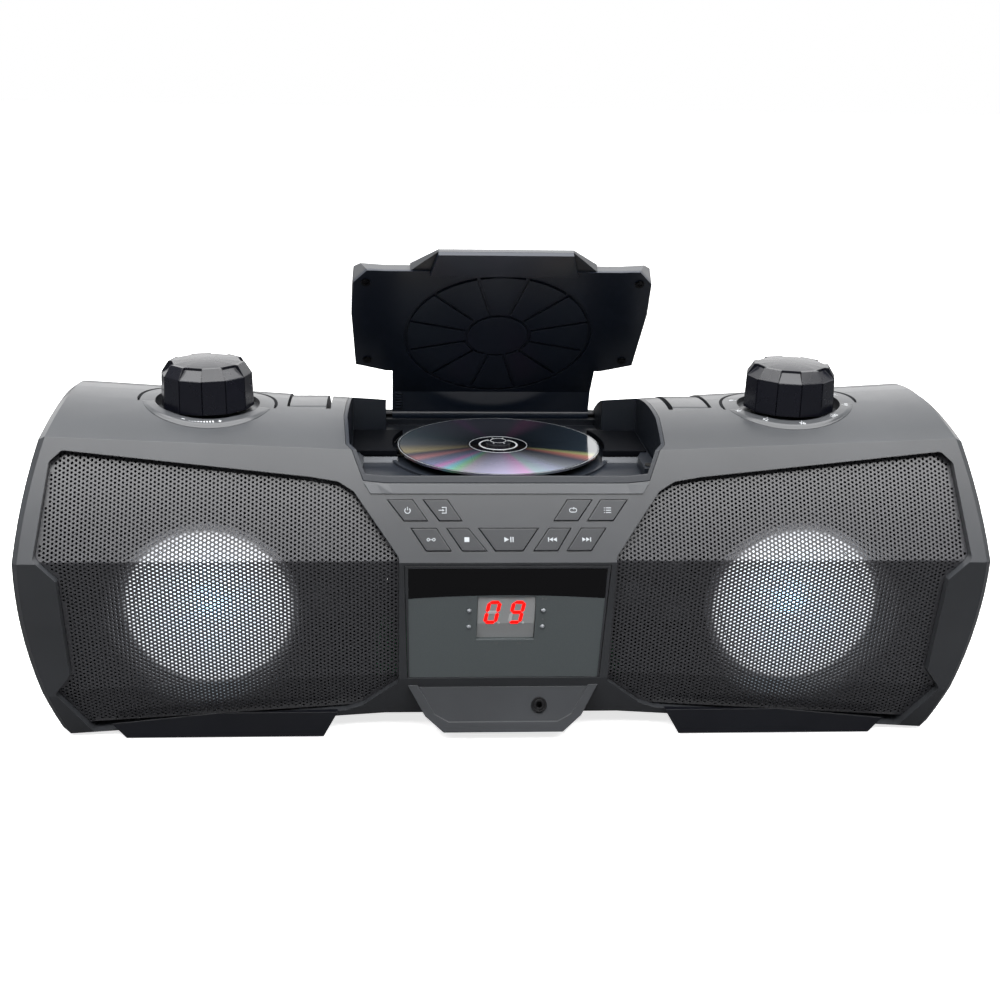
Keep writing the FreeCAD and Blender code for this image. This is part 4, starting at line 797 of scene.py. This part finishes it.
def list_icon():
    """Three lines, each with a dot before it."""
    icon = Drawing()
    for y in (-1.3, 0.0, 1.3):
        icon.bar(-2.0, y - 0.22, -1.4, y + 0.22).bar(-0.9, y - 0.22, 2.0, y + 0.22)
    return icon


def skip_icon(side):
    """Two triangles and a bar; side is 1 for next and -1 for previous."""
    icon = Drawing()
    for x in (-1.35, 0.75):
        icon.triangle(side * x, 0, side * 2.0, 2.4)
    start, end = sorted((side * 1.9, side * 2.5))
    return icon.bar(start, -1.2, end, 1.2)


ICONS = {
    "power": Drawing().ring(0, -0.2, 1.25, 1.75, -230, 50).bar(-0.25, 0.1, 0.25, 1.9),
    # An arrow that enters a box.
    "source": (Drawing().stroke((-2.2, 0), (0.2, 0), 0.5).triangle(0.5, 0, 1.0, 1.7)
               .bar(-0.4, 1.35, 2.2, 1.8).bar(-0.4, -1.8, 2.2, -1.35).bar(1.75, -1.35, 2.2, 1.35)),
    "repeat": (Drawing().ring(-0.9, 0, 0.85, 1.3, 90, 270).ring(0.9, 0, 0.85, 1.3, -90, 90)
               .bar(-0.9, -1.3, 0.9, -0.85).bar(-0.9, 0.85, 0.1, 1.3).triangle(0.65, 1.08, 1.0, 1.5)),
    "program": list_icon(),
    # Two linked dots.
    "pair": Drawing().ring(-1.5, 0, 0.45, 0.95).ring(1.5, 0, 0.45, 0.95).bar(-0.55, -0.2, 0.55, 0.2),
    "stop": Drawing().bar(-1.35, -1.35, 1.35, 1.35),
    "play": (Drawing().triangle(-1.2, 0, 2.6, 2.9).bar(0.75, -1.45, 1.4, 1.45)
             .bar(2.0, -1.45, 2.65, 1.45)),
    "previous": skip_icon(-1),
    "next": skip_icon(1),
}


def make_keys():
    for name, icon in ICONS.items():
        node = name + "_key"
        softened_copy(node, KEY_ROUNDING)
        face = Face(node, FACET_WAY)
        icon.piece(name + "_icon", face.place, node, "key", material="icon")


# ---- display

BAND_MIDDLE = 18.6  # how far the gloss band reaches down the panel at its middle and sides
BAND_SIDE = 20.7
BAND_STEPS = 16
FRAME_WIDTH = 1.8
FRAME_INSET = 0.1
WINDOW_HALF_HEIGHT = 13.7
DIGIT_WIDTH = 7.8
DIGIT_HEIGHT = 14.9
DIGIT_STROKE = 2.0
DIGIT_GAP = 0.12
DIGIT_PLACES = (-12.9, 0.7)
DIGIT_DROP = 2.6
DIGIT_SLANT = math.tan(math.radians(10))
SEGMENTS_OF = {"0": "abcdef", "9": "abcdfg"}


def make_gloss_band(face):
    """The black band over the panel, whose lower edge is a shallow arc."""
    top = face.half_height - FRAME_WIDTH
    half = face.half_width - FRAME_WIDTH
    lower_half = half * 0.995
    band = Drawing()
    edge = []
    for step in range(BAND_STEPS + 1):
        across = -1 + 2 * step / BAND_STEPS
        reach = BAND_MIDDLE + (BAND_SIDE - BAND_MIDDLE) * across * across
        edge.append((across, face.half_height - reach))
    for (a, y0), (b, y1) in zip(edge, edge[1:]):
        band.polygon((lower_half * a, y0), (lower_half * b, y1), (half * b, top), (half * a, top))
    band.piece("gloss_band", face.place, "cabinet", "display_panel", 0.12, "gloss_black")


def make_display_frame(face):
    """The narrow frame along the panel's top and sides."""
    top = face.half_height - FRAME_INSET
    bottom = FRAME_INSET - face.half_height
    wide = face.half_width - FRAME_INSET
    narrow = wide - 2.0
    edge = FRAME_WIDTH - 0.3
    inner = wide - edge
    frame = Drawing().polygon((-wide, top), (wide, top), (inner, top - edge), (-inner, top - edge))
    for side in (-1, 1):
        frame.polygon((side * wide, top), (side * inner, top - edge),
                      (side * (narrow - edge * 0.6), bottom), (side * narrow, bottom))
    frame.piece("display_frame", face.place, "cabinet", "case", 0.28)


def segment_shapes(x, y):
    """The seven strokes of a digit whose lower left corner is at x, y, by letter."""
    half = DIGIT_STROKE / 2
    left, right = half, DIGIT_WIDTH - half
    low, middle, high = half, DIGIT_HEIGHT / 2, DIGIT_HEIGHT - half
    ends = {
        "a": ((left, high), (right, high)), "b": ((right, high), (right, middle)),
        "c": ((right, middle), (right, low)), "d": ((left, low), (right, low)),
        "e": ((left, middle), (left, low)), "f": ((left, high), (left, middle)),
        "g": ((left, middle), (right, middle)),
    }
    shapes = {}
    for letter, (start, end) in ends.items():
        start, end = Vector(start), Vector(end)
        way = (end - start).normalized()
        side = Vector((-way.y, way.x)) * half
        inset = way * half
        start += way * DIGIT_GAP
        end -= way * DIGIT_GAP
        outline = [start, start + inset + side, end - inset + side,
                   end, end - inset - side, start + inset - side]
        shapes[letter] = [(x + p.x + p.y * DIGIT_SLANT, y + p.y) for p in outline]
    return shapes


def make_digits(text, window):
    """Seven-segment digits and their points, with the dark segments as a piece of their own."""
    lit, unlit = Drawing(), Drawing()
    foot = WINDOW_HALF_HEIGHT - DIGIT_HEIGHT - DIGIT_DROP
    for x, figure in zip(DIGIT_PLACES, text):
        for letter, outline in segment_shapes(x, foot).items():
            target = lit if letter in SEGMENTS_OF[figure] else unlit
            target.polygon(*outline)
        unlit.dot(x + DIGIT_WIDTH + 1.1, foot + 0.7, 0.75)
    lit.piece("digits_lit", window.place, "cabinet", "digit_module", 0.08, "digit_lit")
    unlit.piece("digits_unlit", window.place, "cabinet", "digit_module", 0.08, "digit_off")


def make_panel_marks(face, window):
    """Small symbols by the indicator lamps and under the window."""
    offset = (window.middle - face.middle).dot(face.up) / MM
    marks = Drawing()
    for name, x, y, scale in (
            ("power", -20.6, 12.6, 0.55), ("play", 20.6, 12.6, 0.5), ("pair", -20.6, -0.6, 0.45),
            ("stop", 20.6, -0.6, 0.4), ("program", -5.0, -16.2, 0.45), ("repeat", 8.0, -16.2, 0.55)):
        marks.add(ICONS[name].moved(x, offset + y, scale))
    marks.piece("panel_marks", face.place, "cabinet", "display_panel", 0.05, "faint_mark")


def make_display():
    toward = (0, -1, 0.05)
    face = Face("display_panel", toward)
    window = Face("display_module", toward)
    make_gloss_band(face)
    make_display_frame(face)
    make_digits("09", window)
    make_panel_marks(face, window)


# ---- round the knobs

# In millimetres from the knob's axis, with angles in degrees from its right.
LIP_INNER = 29.7
LIP_OUTER = 36.6
LIP_RISE = 1.7
LIP_FLANK = 2.4  # how wide its outer slope is
LIP_START = -170
LIP_SPAN = 160
LIP_RINGS = 14
LIP_STEPS = 64
GROOVE_INNER = 37.9
GROOVE_OUTER = 39.7
GROOVE_START = -4
GROOVE_SPAN = 188
GROOVE_STEPS = 60
MARK_RADIUS = 32.6
MARK_GAP = 0.03  # keeps the marks clear of the lip
DIAL_NUMBERS = ("88", "90", "92", "96", "100", "104", "108")
DIAL_START = -200
DIAL_SPAN = 220
DIAL_TEXT = 3.5
OVER_CASE = 0.4  # metres; rays down to the case start at this height

# The knob itself, with heights counted down from its top.
KNOB_SECTORS = 12
KNOB_SIDE = 19.0
KNOB_BEVEL = 6.4
KNOB_DOME = 1.3
KNOB_DRAFT = 0.6
KNOB_CROWN = 21.6
KNOB_STEP_IN = 2.0
KNOB_STEP_DOWN = 1.5
KNOB_STEP_BRIM = 0.7
KNOB_GROOVE = 0.35
KNOB_GROOVE_DEPTH = 1.0
KNOB_ROUNDING = 0.22


class KnobSeat:
    """The top of the case round a knob, in polar millimetres about the knob's axis."""

    def __init__(self, node, name):
        self.name = name
        self.middle = middle_of(node)

    def rise(self, radius, angle):
        """How far the soft lip in front of the knob stands over the case, in millimetres."""
        front = min(1.0, 1.6 * max(0.0, -math.sin(angle) - 0.2))
        flank = min(1.0, max(0.0, (LIP_OUTER - radius) / LIP_FLANK))
        return LIP_RISE * front * flank * flank * (3 - 2 * flank)

    def place(self, radius, angle, out=0.0):
        x, y = polar(radius * MM, angle, self.middle.x, self.middle.y)
        top = CASE.ray_cast(Vector((x, y, OVER_CASE)), DOWN)[0]
        return Vector((x, y, top.z + (self.rise(radius, angle) + out) * MM))

    def flat_place(self, angle, radius):
        """Wraps a flat drawing round the knob, its foot away from the knob."""
        return lambda x, y, out: self.place(radius - y, angle + x / radius, out + MARK_GAP)

    def make_lip(self):
        """The raised lip in front of the knob."""
        radii = [LIP_INNER + (LIP_OUTER - LIP_INNER) * step / LIP_RINGS
                 for step in range(LIP_RINGS + 1)]
        angles = [math.radians(LIP_START + LIP_SPAN * step / LIP_STEPS) for step in range(LIP_STEPS + 1)]
        points = [self.place(radius, angle, 0.05) for angle in angles for radius in radii]
        count = len(radii)
        faces = [(a * count + r, a * count + r + 1, (a + 1) * count + r + 1, (a + 1) * count + r)
                 for a in range(len(angles) - 1) for r in range(count - 1)]
        make_sheet(self.name + "_lip", points, faces, 0.3 * MM, "case", smooth=True)

    def make_groove_shadow(self):
        """A painted shadow: a thin black band laid on the case where the groove that runs round behind
        the knob lies in shade.
        """
        groove = Drawing()
        angles = [math.radians(GROOVE_START + GROOVE_SPAN * step / GROOVE_STEPS)
                  for step in range(GROOVE_STEPS + 1)]
        for a, b in zip(angles, angles[1:]):
            groove.polygon((a, GROOVE_INNER), (b, GROOVE_INNER), (b, GROOVE_OUTER), (a, GROOVE_OUTER))
        groove.piece(self.name + "_groove", lambda angle, radius, out: self.place(radius, angle, out),
                     "cabinet", "case", 0.03, "ledge")


def knob_section(radius, height):
    """The twelve corners of a section through the knob."""
    return [Vector((*polar(radius, math.tau * k / KNOB_SECTORS), height)) for k in range(KNOB_SECTORS)]


def grooved(section):
    """Each corner of a knob section as a groove: its start, its bottom and its end."""
    spots = []
    for k, corner in enumerate(section):
        before = (section[k - 1] - corner).normalized() * KNOB_GROOVE
        after = (section[(k + 1) % KNOB_SECTORS] - corner).normalized() * KNOB_GROOVE
        inward = Vector((-corner.x, -corner.y, 0)).normalized() * KNOB_GROOVE_DEPTH
        spots.append((corner + before, corner + inward, corner + after))
    return spots


def knob_faces(half):
    """The faces of a knob with this half width, as lists of corners."""
    shoulder, top = -KNOB_BEVEL - KNOB_DOME, -KNOB_DOME
    reach = KNOB_CROWN - KNOB_STEP_IN
    brim = knob_section(half - KNOB_DRAFT, shoulder)
    proud = knob_section(KNOB_CROWN, top)
    step_top = knob_section(reach, top)
    step_foot = knob_section(reach, top - KNOB_STEP_DOWN)
    set_back = knob_section(half - KNOB_DRAFT - KNOB_STEP_BRIM, shoulder)
    lower = grooved(knob_section(half, shoulder - KNOB_SIDE))
    upper = grooved(brim)
    faces = []
    for k in range(KNOB_SECTORS):
        n = (k + 1) % KNOB_SECTORS
        faces.append((lower[k][2], lower[n][0], upper[n][0], upper[k][2]))
        faces.append((lower[k][0], lower[k][1], upper[k][1], upper[k][0]))
        faces.append((lower[k][1], lower[k][2], upper[k][2], upper[k][1]))
        faces.append((*upper[k], brim[k]))
        edge = (brim[k], upper[k][2], upper[n][0], brim[n])
        if k % 2:
            faces.append((*edge, proud[n], proud[k]))
            faces.append((proud[k], proud[n], step_top[n], step_top[k]))
            continue
        faces.append((*edge, set_back[n], set_back[k]))
        faces.append((set_back[k], set_back[n], step_foot[n], step_foot[k]))
        faces.append((step_foot[k], step_foot[n], step_top[n], step_top[k]))
        for corner in (k, n):
            faces.append((brim[corner], set_back[corner], step_foot[corner], step_top[corner],
                          proud[corner]))
    rings = [step_top]
    for share in (0.8, 0.6, 0.4, 0.2):
        rings.append(knob_section(reach * share, top + KNOB_DOME * (1 - share * share)))
    for outer, inner in zip(rings, rings[1:]):
        for k in range(KNOB_SECTORS):
            n = (k + 1) % KNOB_SECTORS
            faces.append((outer[k], outer[n], inner[n], inner[k]))
    faces.append(rings[-1])
    faces.append([spot for corner in lower for spot in corner])
    return faces


def make_knob(node):
    """A twelve-sided knob: every other bevel facet lies back, and a groove runs down each corner."""
    low, high = box_of(node)
    axis = Vector(((low.x + high.x) / 2, (low.y + high.y) / 2, high.z))
    points, faces = [], []
    for face in knob_faces((high.x - low.x) / 2 / MM):
        faces.append(range(len(points), len(points) + len(face)))
        points += [axis + spot * MM for spot in face]
    mesh = weld(mesh_of(node + "_soft", points, faces), 0.005 * MM)
    piece = link_piece(node + "_soft", mesh, node, "knob")
    soften(piece, KNOB_ROUNDING * MM)
    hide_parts(node)


def text_drawing(text, size):
    """The outline faces of plain numbers, centred on the origin, in millimetres."""
    curve = bpy.data.curves.new("text", "FONT")
    curve.body = text
    curve.size = size
    curve.align_x = "CENTER"
    curve.align_y = "CENTER"
    curve.resolution_u = 3
    writer = put_in_scene("text", curve)
    flat = bpy.data.meshes.new_from_object(writer)
    drawing = Drawing()
    for polygon in flat.polygons:
        drawing.polygon(*[tuple(flat.vertices[index].co[:2]) for index in polygon.vertices])
    bpy.data.objects.remove(writer)
    bpy.data.curves.remove(curve)
    bpy.data.meshes.remove(flat)
    return drawing


def make_volume_marks():
    """A minus, a rising row of bars and a plus in front of the volume knob."""
    seat = KnobSeat("volume_knob", "volume")
    seat.make_lip()
    seat.make_groove_shadow()
    marks = Drawing().bar(-11.2, -0.25, -9.2, 0.25)
    marks.bar(9.2, -0.25, 11.2, 0.25).bar(9.95, 0.25, 10.45, 1.0).bar(9.95, -1.0, 10.45, -0.25)
    for step in range(9):
        x = -6.4 + 1.6 * step
        marks.bar(x - 0.4, -0.9, x + 0.4, -0.6 + 0.19 * step)
    place = seat.flat_place(math.radians(-90), MARK_RADIUS)
    marks.piece("volume_marks", place, "cabinet", "case", material="mark")


def make_tuning_marks():
    """Dial numbers round the tuning knob, each with a tick."""
    seat = KnobSeat("tuning_knob", "tuning")
    seat.make_lip()
    seat.make_groove_shadow()
    for step, number in enumerate(DIAL_NUMBERS):
        angle = math.radians(DIAL_START + DIAL_SPAN * step / (len(DIAL_NUMBERS) - 1))
        marks = text_drawing(number, DIAL_TEXT).moved(0, -0.4)
        marks.bar(-0.2, 1.3, 0.2, 2.6)
        place = seat.flat_place(angle, MARK_RADIUS)
        marks.piece("dial_" + number, place, "cabinet", "case", material="mark")


# ---- case trim

BROW_DROP = 6.0  # the tray's front lip covers this much of the control facet
BROW_HALF = (78.5, 75.0)
BROW_PROUD = 0.55
BROW_INSET = 0.3
BROW_STEPS = 24
OVER_WELL_FLOOR = (0.075, -0.03, 0.17)
SHELF_RADIUS = 62.6 * MM
SHELF_REACH = 86.0 * MM
SHELF_HEIGHT = 3.4 * MM
SHELF_SINK = 0.1 * MM
SHELF_ROUNDING = 0.4 * MM
RISER_GAP = 0.05 * MM
RISER_INSET = 0.4 * MM
RISER_LEAN = 2.2 * MM
VENT_X = (0.134, 0.214)
VENT_Z = (0.040, 0.092)
CLOTH_STEPS = 16
CLOTH_GAP = 1.2 * MM
CLOTH_SLACK = 1.5 * MM
SEAL_FOOT = 4.0 * MM
SEAL_WIDTH = 3.4 * MM
SEAL_GAP = 0.05 * MM
SEAL_STEPS = 12


def make_brow():
    """The front lip of the disc tray, which ends in a step across the control facet, in a lighter copy of
    the case plastic: a painted highlight.
    """
    facet = Face("front_shell", Face("play_key", FACET_WAY).out)
    ridge = facet.half_height

    def place(x, y, out):
        hit = CASE.ray_cast(facet.place(x, y, 20), -facet.out)[0]
        return hit + facet.out * out * MM

    brow = Drawing()
    top, bottom = ridge - BROW_INSET, ridge - BROW_DROP
    for step in range(BROW_STEPS):
        a, b = (-1 + 2 * (step + k) / BROW_STEPS for k in (0, 1))
        brow.polygon((a * BROW_HALF[0], top), (a * BROW_HALF[1], bottom),
                     (b * BROW_HALF[1], bottom), (b * BROW_HALF[0], top))
    brow.piece("tray_lip", place, "cabinet", "case", BROW_PROUD, "lip")


def make_tray_shelves():
    """A low shelf at each side of the disc, cut round to clear its edge."""
    center = middle_of("compact_disc")
    floor = surface_of("disc_deck").ray_cast(Vector(OVER_WELL_FLOOR), DOWN)[0].z
    for side, name in ((-1, "left"), (1, "right")):
        angles = [math.radians(a) for a in range(-16, 29, 3)]
        inner = [(center.x + side * SHELF_RADIUS * math.cos(a), center.y + SHELF_RADIUS * math.sin(a))
                 for a in angles]
        outline = inner + [(side * SHELF_REACH, inner[-1][1]), (side * SHELF_REACH, inner[0][1])]
        if side < 0:
            outline.reverse()
        points = [(x, y, floor + SHELF_HEIGHT) for x, y in outline]
        shelf = make_sheet("tray_shelf_" + name, points, [tuple(range(len(points)))],
                           SHELF_HEIGHT + SHELF_SINK, "deck", "ledge")
        soften(shelf, SHELF_ROUNDING)
        # The riser is painted lighter than the deck: a painted highlight.
        face_y = inner[0][1] - RISER_GAP
        riser = [(x, face_y - lean, floor + rise)
                 for x in sorted((inner[0][0] - side * RISER_INSET, side * SHELF_REACH))
                 for lean, rise in ((RISER_LEAN, 0.0), (0.0, SHELF_HEIGHT - RISER_INSET))]
        make_sheet("shelf_riser_" + name, riser, [(0, 2, 3, 1)], 0.3 * MM, "deck", "riser")


def make_vent_cloth():
    """Black dust cloth stretched inside the rear vents."""
    left, right = ([inside_wall(x, z) - BACKWARD * CLOTH_GAP for z in VENT_Z] for x in VENT_X)
    points = []
    for row in range(CLOTH_STEPS + 1):
        up = row / CLOTH_STEPS
        for column in range(CLOTH_STEPS + 1):
            across = column / CLOTH_STEPS
            slack = math.sin(math.pi * up) * math.sin(math.pi * across) * CLOTH_SLACK
            points.append(left[0].lerp(left[1], up).lerp(right[0].lerp(right[1], up), across)
                          - BACKWARD * slack)
    wide = CLOTH_STEPS + 1
    faces = [(r * wide + c, (r + 1) * wide + c, (r + 1) * wide + c + 1, r * wide + c + 1)
             for r in range(CLOTH_STEPS) for c in range(CLOTH_STEPS)]
    make_sheet("vent_cloth", points, faces, 0.6 * MM, "grille", "cloth", smooth=True)


def make_battery_seal():
    """A foam strip round the sides and the top of the battery box, against the rear wall."""
    low, high = box_of("battery_box")
    foot = low.z + SEAL_FOOT
    legs = [((low.x, foot), (-1, 0)), ((low.x, high.z), (-1, 1)), ((high.x, high.z), (1, 1)),
            ((high.x, foot), (1, 0))]
    points = []
    for (start, start_out), (end, end_out) in zip(legs, legs[1:]):
        for step in range(SEAL_STEPS + 1):
            share = step / SEAL_STEPS
            inner = Vector(start).lerp(Vector(end), share)
            outer = inner + Vector(start_out).lerp(Vector(end_out), share) * SEAL_WIDTH
            depth = inside_wall(*outer).y - SEAL_GAP
            points += [Vector((inner.x, depth, inner.y)), Vector((outer.x, depth, outer.y))]
    faces = [(k, k + 2, k + 3, k + 1) for k in range(0, len(points) - 2, 2)]
    make_sheet("battery_seal", points, faces, 1.5 * MM, "pad")


# ---- disc and spindle

# Low rings on the disc: (name, inner and outer radius and rise in millimetres, steps, material).
DISC_RINGS = [
    ("disc_stack_ring", 16.6, 17.5, 0.16, 96, "clear_ring"),
    ("disc_hub_ring", 10.4, 11.7, 0.12, 96, "white_ring"),
    ("disc_rim", 58.9, 59.7, 0.05, 160, "clear_ring"),
]
RING_SLOPE = 0.2
RING_SINK = 0.02
HUB_RING = (4.4, 4.8)
CLIP_INNER = 5.2
CLIP_OUTER = 6.76
CLIP_WIDTH = 0.7


def make_disc_ring(axis, name, inner, outer, rise, steps, material):
    """A ring with sloping flanks, turned round the disc's axis."""
    profile = [(inner, -RING_SINK), (inner + RING_SLOPE, rise), (outer - RING_SLOPE, rise),
               (outer, -RING_SINK)]
    points, faces = [], []
    for step in range(steps):
        angle = math.tau * step / steps
        points += [axis + Vector((*polar(radius, angle), height)) * MM for radius, height in profile]
        here, after = 4 * step, 4 * ((step + 1) % steps)
        faces += [(here + k, after + k, after + (k + 1) % 4, here + (k + 1) % 4) for k in range(4)]
    mesh = weld(mesh_of(name, points, faces), 0.001 * MM)
    link_piece(name, mesh, "spindle", "disc", material, smooth=True)


def make_disc_details():
    """The rings of the disc, and a pale ring with six clips on the hub that holds it."""
    low, high = box_of("compact_disc")
    axis = (low + high) / 2
    axis.z = high.z
    for name, *ring in DISC_RINGS:
        make_disc_ring(axis, name, *ring)
    clips = Drawing().ring(0, 0, *HUB_RING)
    for k in range(6):
        way = math.tau * k / 6
        clips.stroke(polar(CLIP_INNER, way), polar(CLIP_OUTER, way), CLIP_WIDTH)
    hub = Vector((axis.x, axis.y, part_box("turntable")[1][2]))
    clips.piece("hub_clips", lambda x, y, out: hub + Vector((x, y, out)) * MM,
                "spindle", "turntable", 0.05, "white_ring")


# ---- the whole object

make_camera()
make_studio()
make_floor()
dress_cad_nodes()
make_grille("grille_left")
make_grille("grille_right")
make_keys()
make_display()
make_volume_marks()
make_tuning_marks()
make_tray_shelves()
make_brow()
make_vent_cloth()
make_battery_seal()
make_disc_details()
for knob in ("volume_knob", "tuning_knob"):
    make_knob(knob)
